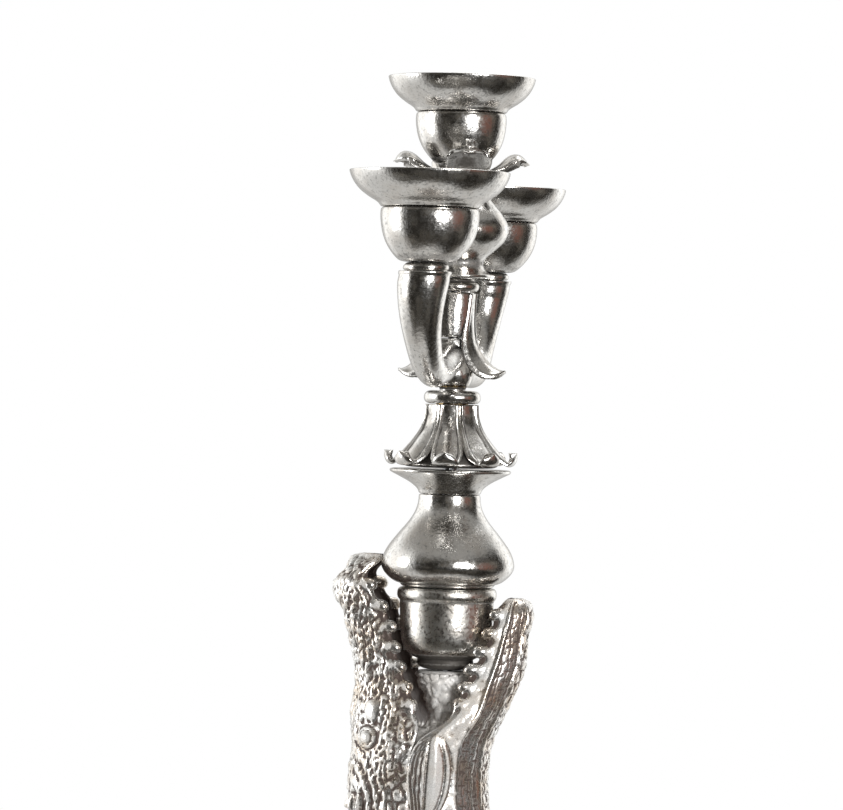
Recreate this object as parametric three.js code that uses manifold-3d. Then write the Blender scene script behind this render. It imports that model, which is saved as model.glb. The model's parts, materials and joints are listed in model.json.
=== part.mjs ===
// A three-light silver candelabrum gripped in the jaws of a crocodile that stands upright on a
// round moulded foot. Millimetres, +Z up. The origin is the centre of the felt's underside, on
// the stem's axis. +X is the crocodile's belly side, -X its back, and the branches reach along Y.
import * as THREE from "three";
import { mergeVertices } from "three/addons/utils/BufferGeometryUtils.js";
import Module from "manifold-3d";

const wasm = await Module();
wasm.setup();

// ---- driving dimensions ----
const GAP = 0.3; // left between pieces that touch
const ROUND = 20; // sides of the large turned pieces
const ROUND_SMALL = 16; // sides of the small turned pieces

const FELT_THICK = 2;
const BASE_TOP = 20; // the foot's flat upper face
const BASE_WALL = 4;
const HIPS_Z = 64; // where the tail leaves the body
const MOUTH_CORNER_Z = 290;
const BODY_WALL = 3.2; // of the hollow body shells

const URN_Z = 321;
const BULB_Z = 362.2;
const DISH_Z = 408.5;
const SKIRT_Z = 421.3;
const BEAD_Z = 453.6;
const SLEEVE_Z = 439;
const HUB_Z = 441; // the foot of the spigot
const COLUMN_Z = 486.6;
const COLUMN_CAP_Z = 509.7;
const KNOB_Z = 516.5;
const COLLAR_Z = 566.9;
const CENTER_CUP_Z = 573;
const SIDE_CUP_Z = 521.8;
const CUP_HEIGHT = 26;

const ARM_REACH = 88; // stem axis to candle axis
const ARM_RING_Z = 517.6;
const HUB_RADIUS = 10.3;
const SPIGOT_RADIUS = 6.5;
const SOCKET_RADIUS = 8.5;
const LOWER_ROD = 3.9;
const UPPER_ROD = 2.9;
const STUD = 2.4;
const CANDLE_BORE = 11.3; // takes a 22 mm dinner candle
const PETAL_COUNT = 8;

// ---- materials ----
const metal = (name, color, roughness) =>
  new THREE.MeshStandardMaterial({ name, color, roughness, metalness: 1 });
const MATERIALS = {
  plate: metal("silver_plate", 0xb9b6b0, 0.22),
  hide: metal("cast_silver", 0xa8a49b, 0.34),
  steel: metal("steel", 0x8d9094, 0.4),
  brass: metal("brass", 0xb89a55, 0.35),
  felt: new THREE.MeshStandardMaterial({ name: "felt", color: 0x23302a, roughness: 0.95, metalness: 0 }),
};

// ---- solids ----
function toSolid(geometry) {
  const bare = geometry.index ? geometry.toNonIndexed() : geometry.clone();
  for (const name of Object.keys(bare.attributes)) {
    if (name !== "position") bare.deleteAttribute(name);
  }
  const merged = mergeVertices(bare, 1e-3);
  return new wasm.Manifold(
    new wasm.Mesh({
      numProp: 3,
      vertProperties: merged.attributes.position.array,
      triVerts: new Uint32Array(merged.index.array),
    }),
  );
}

function toGeometry(solid) {
  const mesh = solid.getMesh();
  return new THREE.BufferGeometry()
    .setAttribute("position", new THREE.BufferAttribute(new Float32Array(mesh.vertProperties), 3))
    .setIndex(new THREE.BufferAttribute(new Uint32Array(mesh.triVerts), 1));
}

const join = (first, ...others) => others.reduce((sum, g) => sum.add(toSolid(g)), toSolid(first));
const cut = (solid, ...others) => others.reduce((left, g) => left.subtract(toSolid(g)), solid);

// A profile of [radius, height] pairs turned about Z.
function turned(profile, sides = ROUND) {
  const points = profile.map(([r, z]) => new THREE.Vector2(r, z));
  return new THREE.LatheGeometry(points, sides).rotateX(Math.PI / 2);
}

// A ring-shaped profile closes on its first point.
const turnedRing = (profile, sides = ROUND) => turned([...profile, profile[0]], sides);

const rod = (radius, low, high, sides = 12) =>
  new THREE.CylinderGeometry(radius, radius, high - low, sides)
    .rotateX(Math.PI / 2)
    .translate(0, 0, (low + high) / 2);

// A smooth run of points through the given ones.
function smooth(points, steps) {
  const curve = new THREE.SplineCurve(points.map(([r, z]) => new THREE.Vector2(r, z)));
  return curve.getPoints(steps).map((p) => [p.x, p.y]);
}

// Joins two grids of points, [row][column], into one closed body whose faces are the two grids.
function thickSheet(outer, inner) {
  const rows = outer.length;
  const columns = outer[0].length;
  const positions = [];
  const quad = (a, b, c, d) => positions.push(...a, ...b, ...c, ...a, ...c, ...d);
  for (let i = 0; i + 1 < rows; i++) {
    for (let j = 0; j + 1 < columns; j++) {
      quad(outer[i][j], outer[i][j + 1], outer[i + 1][j + 1], outer[i + 1][j]);
      quad(inner[i][j], inner[i + 1][j], inner[i + 1][j + 1], inner[i][j + 1]);
    }
    quad(outer[i][0], outer[i + 1][0], inner[i + 1][0], inner[i][0]);
    quad(outer[i][columns - 1], inner[i][columns - 1], inner[i + 1][columns - 1], outer[i + 1][columns - 1]);
  }
  for (let j = 0; j + 1 < columns; j++) {
    const last = rows - 1;
    quad(outer[0][j], inner[0][j], inner[0][j + 1], outer[0][j + 1]);
    quad(outer[last][j], outer[last][j + 1], inner[last][j + 1], inner[last][j]);
  }
  return new THREE.BufferGeometry().setAttribute(
    "position",
    new THREE.Float32BufferAttribute(positions.map(Number), 3),
  );
}

// Rings of points skinned into one closed body with a fan over each end.
function skinned(rings) {
  const positions = [];
  const triangle = (a, b, c) => positions.push(...a, ...b, ...c);
  const middle = (ring) => [0, 1, 2].map((k) => ring.reduce((sum, p) => sum + p[k], 0) / ring.length);
  const sides = rings[0].length;
  for (let j = 0; j < sides; j++) {
    const next = (j + 1) % sides;
    for (let i = 0; i + 1 < rings.length; i++) {
      triangle(rings[i][j], rings[i][next], rings[i + 1][next]);
      triangle(rings[i][j], rings[i + 1][next], rings[i + 1][j]);
    }
    triangle(middle(rings[0]), rings[0][next], rings[0][j]);
    triangle(middle(rings.at(-1)), rings.at(-1)[j], rings.at(-1)[next]);
  }
  return new THREE.BufferGeometry().setAttribute("position", new THREE.Float32BufferAttribute(positions, 3));
}

// Values read off a table of [key, a, b, ...] rows by a smooth curve through them.
function table(rows) {
  const slope = (i, k) => {
    const before = rows[Math.max(i - 1, 0)];
    const after = rows[Math.min(i + 1, rows.length - 1)];
    return (after[k] - before[k]) / (after[0] - before[0]);
  };
  return (key) => {
    let i = 0;
    while (i + 2 < rows.length && key > rows[i + 1][0]) i++;
    const span = rows[i + 1][0] - rows[i][0];
    const t = Math.min(Math.max((key - rows[i][0]) / span, 0), 1);
    return rows[i].slice(1).map((_, n) => {
      const k = n + 1;
      const rise = rows[i + 1][k] - rows[i][k];
      const [m0, m1] = [slope(i, k) * span, slope(i + 1, k) * span];
      return rows[i][k] + t * (m0 + t * (3 * rise - 2 * m0 - m1 + t * (m0 + m1 - 2 * rise)));
    });
  };
}

const between = (low, high, count) => Array.from({ length: count }, (_, i) => low + ((high - low) * i) / (count - 1));

// A limb: round or oval sections along points [x, y, z, half width, half height]. The width lies
// along `across`, a direction or a rule that gives one from the limb's own direction.
function limb(points, sides, steps, across) {
  const path = new THREE.CatmullRomCurve3(points.map(([x, y, z]) => new THREE.Vector3(x, y, z)));
  const sizes = table(points.map((p, i) => [i / (points.length - 1), p[3], p[4] ?? p[3]]));
  const rings = between(0, 1, steps).map((t) => {
    const at = path.getPoint(t);
    const along = path.getTangent(t);
    const wanted = (across.isVector3 ? across : across(along)).clone();
    const side = wanted.addScaledVector(along, -wanted.dot(along)).normalize();
    const up = new THREE.Vector3().crossVectors(along, side).negate();
    const [width, height] = sizes(t);
    return between(0, 2 * Math.PI, sides + 1)
      .slice(0, sides)
      .map((a) =>
        at
          .clone()
          .addScaledVector(side, width * Math.cos(a))
          .addScaledVector(up, -height * Math.sin(a))
          .toArray(),
      );
  });
  return skinned(rings);
}

// ---- the crocodile's outline ----
// Rows of [height, back, belly, half width] for the body below the corner of the mouth.
const bodyOutline = table([
  [HIPS_Z, -34, 14, 26],
  [85, -42, 22, 36],
  [115, -45, 30, 41],
  [150, -46, 34, 43],
  [185, -46, 33, 41],
  [215, -46, 28, 37],
  [238, -45.5, 24.5, 33],
  [252, -45.7, 24.4, 32],
  [267, -45, 20.5, 33],
  [279, -44.5, 23.7, 33.5],
  [MOUTH_CORNER_Z, -45, 26.5, 32.5],
]);
// Rows of [height, back of the snout, gum line, half width, depth of the palate].
const upperJawOutline = table([
  [MOUTH_CORNER_Z, -45, -6.5, 32.5, 12],
  [300, -45.5, -9.8, 29, 5],
  [310, -43.6, -12.5, 25.5, 4],
  [320, -44.3, -17, 22.5, 4],
  [330, -46.3, -21.5, 20, 4],
  [340, -49.5, -24, 18.5, 4],
  [350, -52.5, -26.5, 18, 3.5],
  [358, -55.4, -31, 17.5, 3.5],
  [365, -53, -35.5, 16, 2.5],
  [371, -49.5, -36, 13.5, 2],
  [378, -45, -38, 5, 1],
]);
// Rows of [height, gum line, chin side, half width, depth of the mouth floor].
const lowerJawOutline = table([
  [MOUTH_CORNER_Z, -6, 26.5, 32.5, 16],
  [300, 9, 31.5, 28, 6],
  [310, 13, 35, 23, 4],
  [320, 18, 39.5, 19, 4],
  [330, 23.5, 41.3, 16.5, 3.5],
  [340, 26, 41.6, 15, 3],
  [348, 27.5, 43.4, 13, 3],
  [354, 30, 41, 9, 2],
  [357.5, 33, 38, 4, 1],
]);

// One row of points across a half section: an outer arc and an inner one, both from right to left.
function halfSection(z, seam, depth, width, innerDepth, innerWidth, facing, columns) {
  const angles = between(-Math.PI / 2, Math.PI / 2, columns);
  const arc = (d, w) => angles.map((a) => [seam + facing * d * Math.cos(a), w * Math.sin(a), z]);
  return { outer: arc(depth, width), inner: arc(innerDepth, innerWidth) };
}

function bodyRow(z, facing, columns) {
  const [back, belly, width] = bodyOutline(z);
  const seam = (back + belly) / 2;
  const depth = (belly - back) / 2 - GAP / 2;
  const closing = Math.min(Math.max((z - 262) / (MOUTH_CORNER_Z - 262), 0), 1); // shell thickens to the jaw
  const jaw = facing < 0 ? 12 : 16;
  const innerDepth = THREE.MathUtils.lerp(depth - BODY_WALL, jaw, closing);
  return halfSection(
    z, seam + (facing * GAP) / 2, depth, width, innerDepth, width - BODY_WALL - closing, facing, columns,
  );
}

function upperJawRow(z, columns) {
  const [back, gum, width, palate] = upperJawOutline(z);
  return halfSection(z, gum, gum - back, width, palate, width - Math.min(4.2, width * 0.4), -1, columns);
}

function lowerJawRow(z, columns) {
  const [gum, chin, width, floor] = lowerJawOutline(z);
  return halfSection(z, gum, chin - gum, width, floor, width - Math.min(4.2, width * 0.4), 1, columns);
}

// Teeth: [height, length] down one side of a jaw, from the tip to the corner of the mouth.
const UPPER_TEETH = [[372, 3.5], [363, 6], [354, 3.5], [346, 5.5], [338, 4.5], [330, 4.5], [322, 4], [314, 3.5], [306, 3]];
const LOWER_TEETH = [[353, 4], [346, 5], [338, 6], [330, 5], [321, 5], [313, 4], [305, 3]];
const TOOTH_RADIUS = 2.1;

function tooth(gum, y, z, length, facing) {
  return new THREE.ConeGeometry(TOOTH_RADIUS, length + 2, 5)
    .rotateZ((-facing * Math.PI) / 2)
    .translate(gum + facing * (length / 2 - 1), y, z);
}

function teeth(rows, outline, facing) {
  return rows.flatMap(([z, length]) => {
    const values = outline(z);
    const gum = facing > 0 ? values[1] : values[0];
    const y = Math.max(values[2] - 2.6, 2.4);
    return [-y, y].map((side) => tooth(gum, side, z, length, facing));
  });
}

// The turned pieces' outer envelopes, with the gap on them, to cut their neighbours with.
const stemEnvelope = () =>
  join(
    turned([[0, URN_Z - 0.5], [13.5, URN_Z - 0.5], [15, URN_Z + 4], [22.6, URN_Z + 13], [24.2, URN_Z + 22],
      [24.4, URN_Z + 33], [25.8, URN_Z + 35], [25.8, URN_Z + 40], [0, URN_Z + 40]]),
    turned([[0, BULB_Z - 2], [24.5, BULB_Z - 2], [30.2, BULB_Z + 3], [33.4, BULB_Z + 6.5], [34.2, BULB_Z + 11],
      [31.8, BULB_Z + 20], [0, BULB_Z + 30]]),
  );

function backShell() {
  const columns = 13;
  const rows = [
    ...between(HIPS_Z, MOUTH_CORNER_Z - 4, 12).map((z) => bodyRow(z, -1, columns)),
    ...[MOUTH_CORNER_Z, 302, 314, 326, 338, 350, 358, 365, 371, 378].map((z) => upperJawRow(z, columns)),
  ];
  const shell = thickSheet(rows.map((r) => r.inner), rows.map((r) => r.outer));
  return join(shell, ...teeth(UPPER_TEETH, upperJawOutline, 1)).subtract(stemEnvelope());
}

function bellyShell() {
  const columns = 13;
  const rows = [
    ...between(HIPS_Z, MOUTH_CORNER_Z - 4, 12).map((z) => bodyRow(z, 1, columns)),
    ...[MOUTH_CORNER_Z + 3, 300, 311, 322, 334, 346, 353, 357.5].map((z) => lowerJawRow(z, columns)),
  ];
  const shell = thickSheet(rows.map((r) => r.outer), rows.map((r) => r.inner));
  return join(shell, ...teeth(LOWER_TEETH, lowerJawOutline, -1)).subtract(stemEnvelope());
}

// The whole body as one closed form, a gap larger than the shells, to trim the limbs against.
function bodyEnvelope() {
  const angles = between(0, 2 * Math.PI, 25).slice(0, 24);
  const rings = between(HIPS_Z - GAP, MOUTH_CORNER_Z - 4, 12).map((z) => {
    const [back, belly, width] = bodyOutline(z);
    const [x, a, b] = [(back + belly) / 2, (belly - back) / 2 + GAP, width + GAP];
    return angles.map((t) => [x + a * Math.cos(t), b * Math.sin(t), z]);
  });
  return skinned(rings);
}

const TAIL = [
  [-10, 0, HIPS_Z - 0.3, 25.6, 23.6],
  [-15, 0, 50, 24, 23],
  [-29, 0, 42.5, 20.5, 20.5],
  [-48, -6, 39, 16, 18.5],
  [-66, -24, 36, 12, 15.5],
  [-74, -46, 33.5, 9.5, 13],
  [-58, -68, 31.5, 8, 11],
  [-30, -82, 29.6, 7, 9.2],
  [4, -85, 28, 6, 7.6],
  [38, -76, 26.4, 4.8, 6],
  [64, -56, 24.8, 3.5, 4.4],
  [79, -30, 22.6, 1.2, 2.2],
];
const TAIL_STUD_AT = [-60, -17];
const Y_AXIS = new THREE.Vector3(0, 1, 0);
const X_AXIS = new THREE.Vector3(1, 0, 0);
const level = (along) => new THREE.Vector3(-along.y, along.x - 0.02, 0);

// side is -1 for the crocodile's right and 1 for its left.
const foreleg = (side) => [
  [-6, 22 * side, 217, 13, 14],
  [-4, 40 * side, 204, 11],
  [-1, 51 * side, 187, 9],
  [14, 51 * side, 178, 7.6],
  [29, 44 * side, 180, 6.2],
  [40, 38 * side, 182, 7.4, 4.4],
];
const hindleg = (side) => [
  [-10, 20 * side, 88, 20, 21],
  [10, 42 * side, 76, 17],
  [19, 52 * side, 63, 13.5],
  [4, 54 * side, 50, 10.5],
  [-7, 53 * side, 36, 9],
  [4, 52 * side, 27.4, 9, 7],
  [26, 53 * side, 25.6, 11, 5.2],
];

// Digits fan out from a palm: [spread to the outside, reach, drop].
function digits(palm, side, spreads, radius) {
  return spreads.map(([spread, reach, drop]) => {
    const [x, y, z] = palm;
    return limb(
      [
        [x - 4, y + 0.45 * spread * side, z, radius],
        [x + reach * 0.5, y + 0.8 * spread * side, z - drop * 0.3, radius * 0.92],
        [x + reach * 0.8, y + spread * side, z - drop * 0.7, radius * 0.75],
        [x + reach, y + 1.05 * spread * side, z - drop, 0.8],
      ],
      6, 5, Y_AXIS,
    );
  });
}

function hindLegSolid(side) {
  const palm = [26, 53 * side, 24.6];
  const toes = digits(palm, side, [[-9, 19, 1.6], [-3, 24, 1.6], [4, 23, 1.6], [10, 17, 1.6]], 3.7);
  const stud = rod(STUD + GAP, 10, 35).translate(...[0, 52 * side, 0]);
  return cut(join(limb(hindleg(side), 12, 16, Y_AXIS), ...toes), bodyEnvelope(), stud)
    .subtract(toSolid(rod(120, 0, BASE_TOP + GAP, 32)));
}

function foreLegSolid(side) {
  const palm = [40, 38 * side, 182];
  const fingers = digits(palm, side, [[-11, 10, 1], [-6, 15, 3], [0, 17, 4], [6, 15, 4], [11, 10, 3]], 2.9);
  return cut(join(limb(foreleg(side), 12, 12, Y_AXIS), ...fingers), bodyEnvelope());
}

function tailSolid() {
  const stud = rod(STUD + GAP, 10, 38).translate(...TAIL_STUD_AT, 0);
  return cut(join(limb(TAIL, 12, 32, level)), stud, rod(120, 0, BASE_TOP + GAP, 32))
    .subtract(toSolid(rod(120, HIPS_Z - GAP, 120, 32)));
}

function tongue() {
  const sizes = table([[286, 0, 3, 10], [295, 0.5, 4.6, 12], [303, 1, 7.4, 13], [312, 0.5, 10, 13], [318, 0, 11, 12.5], [320.6, 0, 9.5, 11]]);
  const rings = [286, 290, 295, 303, 312, 318, 320.6].map((z) => {
    const [x, a, b] = sizes(z);
    return between(0, 2 * Math.PI, 21).slice(0, 20).map((t) => [x + a * Math.cos(t), b * Math.sin(t), z]);
  });
  return cut(toSolid(skinned(rings)), rod(LOWER_ROD + GAP, 280, 325));
}

// An oval plate brazed across the inside of the throat, which the stem's rod pulls against.
function mouthBridge() {
  const ring = (z) =>
    between(0, 2 * Math.PI, 29).slice(0, 28).map((t) => [-10 + 25 * Math.cos(t), 27 * Math.sin(t), z]);
  const inside = between(258, 276, 4).map((z) => {
    const { inner: front } = bodyRow(z, 1, 15);
    const { inner: back } = bodyRow(z, -1, 15);
    const outline = [...front, ...[...back].reverse()];
    return outline.map(([x, y]) => [-10 + (x + 10) * 0.98, y * 0.98, z]);
  });
  return cut(toSolid(skinned([ring(264), ring(268)])).intersect(toSolid(skinned(inside))),
    rod(LOWER_ROD + GAP, 250, 280));
}

// ---- the base ----
const BASE_PROFILE = [
  [95, FELT_THICK + GAP], [101.5, FELT_THICK + GAP], [103.5, 4.5], [104, 7], [102.6, 9.8], [99.5, 11.2],
  [98.4, 12], [97.6, 15], [95, 18.4], [91, BASE_TOP], [0, BASE_TOP],
];
const COVER_SCREW_RADIUS = 80;
const COVER_SCREW_ANGLES = [30, 150, 270];
const STUD_PLACES = { foot_right: [0, -52], foot_left: [0, 52], tail: TAIL_STUD_AT };
const around = (radius, degrees) => {
  const a = THREE.MathUtils.degToRad(degrees);
  return [radius * Math.cos(a), radius * Math.sin(a), 0];
};

function baseFoot() {
  const shell = turned([...BASE_PROFILE, [0, BASE_TOP - BASE_WALL], [89, BASE_TOP - BASE_WALL], [93.5, 12], [95, 8],
    [95, FELT_THICK + GAP]], 32);
  const bosses = COVER_SCREW_ANGLES.map((a) => rod(5, 4.2, 17).translate(...around(COVER_SCREW_RADIUS, a)));
  const screwHoles = COVER_SCREW_ANGLES.map((a) => rod(1.8, 3, 14.5, 12).translate(...around(COVER_SCREW_RADIUS, a)));
  const studHoles = Object.values(STUD_PLACES).map(([x, y]) => rod(STUD + GAP, 10, 25).translate(x, y, 0));
  return cut(join(shell, ...bosses), ...screwHoles, ...studHoles);
}

function baseCover() {
  const low = FELT_THICK + GAP;
  const holes = COVER_SCREW_ANGLES.map((a) =>
    turned([[0, low - 1], [4.4, low - 1], [4.4, low + 0.2], [1.8, low + 1.8], [1.8, low + 3], [0, low + 3]], 12)
      .translate(...around(COVER_SCREW_RADIUS, a)));
  return cut(toSolid(rod(94.6, low, low + 1.6, 32)), ...holes);
}

const coverScrew = () =>
  turned([[0, 0], [3.9, 0], [1.5, 1.7], [1.5, 10], [0, 10]], 12);

const hexNut = (radius, height, bore) => cut(toSolid(rod(radius, 0, height, 6)), rod(bore, -1, height + 1));

// ---- the stem, from the urn up ----
const urn = () =>
  turnedRing([
    [LOWER_ROD + GAP, 0], [10.5, 0], [14.2, 3.2], [14, 5], [18.8, 9.8], [21.8, 14.5],
    [23.2, 21], [23.6, 34.6], [24.9, 35.8], [25, 39], [23.4, 40.9],
    [20.4, 40.9], [20, 24], [LOWER_ROD + GAP, 9],
  ]);

const bulb = () =>
  turnedRing([
    [20.4, 0], [23.4, 0], [23.5, 1.4], [29.6, 4], [32.3, 7], [33.3, 10.5],
    ...smooth([[32.7, 15], [30.8, 20], [26.5, 26.5], [21.3, 32.5], [18, 37], [16, 41.5], [15.4, 46]], 6),
    [LOWER_ROD + GAP, 46], [LOWER_ROD + GAP, 40], [16, 29], [26, 10],
  ]);

const dish = () =>
  turnedRing([
    [LOWER_ROD + GAP, 0], [15.4, 0], [16.8, 2.8], [20.6, 5.8], [26.4, 8.8], [30.4, 11], [30.9, 11.8], [30.2, 12.5],
    [LOWER_ROD + GAP, 12.5],
  ]);

// The skirt's radius at a height and an angle: eight petals that flare to separate curled tips.
const skirtCurve = table([[0, 27.2, 4.4], [2.2, 28.6, 4.2], [5, 25.4, 2.6], [9, 21.6, 1.4], [13.5, 18.4, 0.8], [19, 15.8, 0.5], [25, 14.4, 0.4], [32, 14, 0.3]]);

function petalSkirt() {
  const sides = 32;
  const rings = [0, 2.2, 5, 9, 13.5, 19, 25, 32].map((z) => {
    const [radius, lobe] = skirtCurve(z);
    return between(0, 2 * Math.PI, sides + 1).slice(0, sides).map((a) => {
      const r = radius + lobe * Math.cos((PETAL_COUNT * a) % (2 * Math.PI));
      return [r * Math.cos(a), r * Math.sin(a), z];
    });
  });
  return cut(toSolid(skinned(rings)), rod(SOCKET_RADIUS, 9.7, 40, ROUND_SMALL), rod(LOWER_ROD + GAP, -1, 12));
}

const beadRing = () =>
  turnedRing([[SOCKET_RADIUS, 0], [13.2, 0], [14.4, 1], [15, 3.2], [14.5, 5], [13, 6.4], [SOCKET_RADIUS, 6.6]]);

const socketSleeve = () =>
  turnedRing([[SPIGOT_RADIUS + GAP, 0], [SOCKET_RADIUS - GAP, 0], [SOCKET_RADIUS - GAP, 20.6], [SPIGOT_RADIUS + GAP, 20.6]],
    ROUND_SMALL);

// ---- the branches ----
const HUB_PROFILE = [
  [0, 0], [5.8, 0], [SPIGOT_RADIUS, 1], [SPIGOT_RADIUS, 20.8], [7.7, 21.4], [9.5, 24], [HUB_RADIUS, 27.5],
  [HUB_RADIUS, 40], [9.4, 45.3], [0, 45.3],
];
const hub = () => cut(toSolid(turned(HUB_PROFILE, ROUND_SMALL)), rod(UPPER_ROD + GAP, 28, 50));

// The middle line of a side leaf as [out from the axis, height], with its half width and the radius of its bend.
const LEAF_LINE = table([
  [0, 9.9, 508.5, 7.5, 11], [0.3, 10.2, 497, 8.5, 10.8], [0.55, 11.8, 486, 10, 9.6], [0.75, 16, 477, 10.6, 7.8],
  [0.9, 21.5, 471.6, 7.5, 6.4], [1, 27, 469, 0.8, 5],
]);
const LEAF_THICK = 1.4;

// A leaf bent across its width, facing +X.
function leaf(line, thick, rows, columns) {
  const grid = (lift) =>
    between(0, 1, rows).map((t) => {
      const [out, z, half, bend] = line(t);
      const [out2, z2] = line(Math.min(t + 0.01, 1));
      const [out1, z1] = line(Math.max(t - 0.01, 0));
      const along = new THREE.Vector2(out2 - out1, z2 - z1).normalize();
      const normal = new THREE.Vector2(-along.y, along.x); // away from the stem
      return between(-1, 1, columns).map((u) => {
        const angle = (u * half) / bend;
        const reach = lift - bend * (1 - Math.cos(angle));
        return [out + normal.x * reach, bend * Math.sin(angle), z + normal.y * reach];
      });
    });
  return thickSheet(grid(0), grid(thick));
}

function column() {
  const tube = turnedRing([[UPPER_ROD + GAP, 0], [10.2, 0], [10.5, 1.2], [10.5, 22.8], [UPPER_ROD + GAP, 22.8]], ROUND_SMALL)
    .translate(0, 0, COLUMN_Z);
  const leaves = [0, Math.PI].map((a) => leaf(LEAF_LINE, LEAF_THICK, 10, 7).rotateZ(a));
  return cut(join(tube, ...leaves), rod(HUB_RADIUS + GAP, 455, COLUMN_Z - GAP, ROUND_SMALL));
}

const columnCap = () =>
  turnedRing([[UPPER_ROD + GAP, 0], [11.2, 0], [12, 1], [12, 3], [11.2, 4], [9, 4.4], [8.8, 6.5], [UPPER_ROD + GAP, 6.5]],
    ROUND_SMALL);

const knob = () =>
  turnedRing([
    [UPPER_ROD + GAP, 0], [17.3, 0], [17.5, 0.8], [16.6, 2],
    ...smooth([[13.4, 4.3], [11.9, 7], [13, 10], [17.4, 14], [21.6, 18.5], [23.5, 23.3], [22.8, 28], [20, 33], [16, 37.6],
      [12.4, 42], [10.2, 46], [9.6, 50]], 12),
    [UPPER_ROD + GAP, 50],
  ]);

const COLLAR_LINE = table([
  [0, 9, 568.4, 6, 22], [0.3, 16.5, 570.6, 11, 20], [0.6, 24, 575.4, 13, 17], [0.82, 28.6, 577, 11, 15],
  [1, 32.6, 574.6, 3.5, 14],
]);
const COLLAR_TURN = THREE.MathUtils.degToRad(18 - 90); // the first petal's bearing from +X

function leafCollar() {
  const disc = turnedRing([[UPPER_ROD + GAP, 0], [11.6, 0], [12.6, 1.4], [12, 3.2], [UPPER_ROD + GAP, 3.2]], ROUND_SMALL)
    .translate(0, 0, COLLAR_Z);
  const petals = between(0, 3, 4).map((n) => leaf(COLLAR_LINE, 1.3, 8, 5).rotateZ(COLLAR_TURN + (n * Math.PI) / 2));
  return cut(join(disc, ...petals), cupEnvelope().translate(0, 0, CENTER_CUP_Z), rod(UPPER_ROD + GAP, 560, 575));
}

const CENTER_SCALE = 0.95; // the middle cup and its pan are a little narrower than the side ones
const CUP_OUTLINE = [
  [12, 0], [15.2, 1.6], [18.2, 4.6], [20.8, 8.6], [22.8, 13.4], [23.8, 19], [23.8, CUP_HEIGHT],
];
const cupEnvelope = () =>
  turned([[0, -GAP], ...CUP_OUTLINE.map(([r, z]) => [r * CENTER_SCALE + GAP, z - GAP]), [0, CUP_HEIGHT]]);

const cup = (scale) =>
  turnedRing([
    [UPPER_ROD + GAP, 0], ...CUP_OUTLINE.map(([r, z]) => [r * scale, z]), [21.6 * scale, CUP_HEIGHT], [20.6 * scale, 16],
    [14.8, 5], [9, 3], [UPPER_ROD + GAP, 3],
  ]);

const NOZZLE_TUBE = 18.3; // how far the candle socket reaches into the cup
const PAN_OUTLINE = [
  [24, 0], [26.2, 2.2], [30, 4.8], [33.6, 7.8], [36.4, 11], [38.4, 15], [39.1, 17], [38, 17.4], [35, 12], [31, 7.4],
  [26, 4.2],
];
const nozzle = (scale) =>
  turned([
    [0, -NOZZLE_TUBE], [13, -NOZZLE_TUBE], [13.2, 0], ...PAN_OUTLINE.map(([r, z]) => [r * scale, z]),
    [CANDLE_BORE + 1, 2], [CANDLE_BORE, 1], [CANDLE_BORE - 0.2, 2 - NOZZLE_TUBE], [0, 2 - NOZZLE_TUBE],
  ]);

// The middle line of a branch as [out from the axis, height, radius]: a horn that dips and rises.
const ARM_LINE = [
  [4, 477.2, 8.4], [26, 473.2, 8], [42, 470.2, 8], [55, 470, 8.1], [67.5, 474.8, 8.3], [77, 483.8, 9],
  [84, 495, 10.4], [87.4, 506, 11.9], [ARM_REACH, 517.2, 12.7],
];

function arm(side) {
  const points = ARM_LINE.map(([out, z, r]) => [0, out * side, z, r, r]);
  const hole = rod(UPPER_ROD + GAP, 503, 520).translate(0, ARM_REACH * side, 0);
  const top = rod(30, ARM_RING_Z - GAP, 530).translate(0, ARM_REACH * side, 0);
  return cut(toSolid(limb(points, 16, 18, X_AXIS)), hole, top,
    rod(HUB_RADIUS + GAP, 450, 500, ROUND_SMALL));
}

const armRing = () =>
  turnedRing([[UPPER_ROD + GAP, 0], [10.2, 0], [11.2, 0.9], [11.2, 2.4], [10.2, 3.9], [UPPER_ROD + GAP, 3.9]], ROUND_SMALL);

const cupScrew = () => turned([[0, -15], [UPPER_ROD, -15], [UPPER_ROD, 3.3], [5.2, 3.3], [4.6, 5.2], [0, 5.8]], 12);

// ---- assembly ----
const candelabrum = new THREE.Group();
candelabrum.name = "crocodile_candelabrum";

function place(name, shape, material, at = [0, 0, 0]) {
  const geometry = shape.isBufferGeometry ? shape : toGeometry(shape);
  const mesh = new THREE.Mesh(geometry, material);
  mesh.name = name;
  mesh.position.set(...at);
  candelabrum.add(mesh);
}

const SIDES = { right: -1, left: 1 };

place("felt_pad", rod(100, 0, FELT_THICK, 32), MATERIALS.felt);
place("base_cover", baseCover(), MATERIALS.steel);
COVER_SCREW_ANGLES.forEach((angle, i) => {
  const [x, y] = around(COVER_SCREW_RADIUS, angle);
  place(`cover_screw_${i + 1}`, coverScrew(), MATERIALS.steel, [x, y, FELT_THICK + GAP]);
});
place("base_foot", baseFoot(), MATERIALS.plate);
for (const [name, [x, y]] of Object.entries(STUD_PLACES)) {
  place(`${name}_stud`, rod(STUD, 9.5, name === "tail" ? 37 : 34), MATERIALS.steel, [x, y, 0]);
  place(`${name}_nut`, hexNut(4.6, 4, STUD + GAP), MATERIALS.steel, [x, y, BASE_TOP - BASE_WALL - GAP - 4]);
}

place("crocodile_back_shell", backShell(), MATERIALS.hide);
place("crocodile_belly_shell", bellyShell(), MATERIALS.hide);
place("crocodile_tail", tailSolid(), MATERIALS.hide);
for (const [name, side] of Object.entries(SIDES)) {
  place(`foreleg_${name}`, foreLegSolid(side), MATERIALS.hide);
  place(`hindleg_${name}`, hindLegSolid(side), MATERIALS.hide);
}
place("tongue", tongue(), MATERIALS.hide);
place("mouth_bridge", mouthBridge(), MATERIALS.steel);

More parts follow.
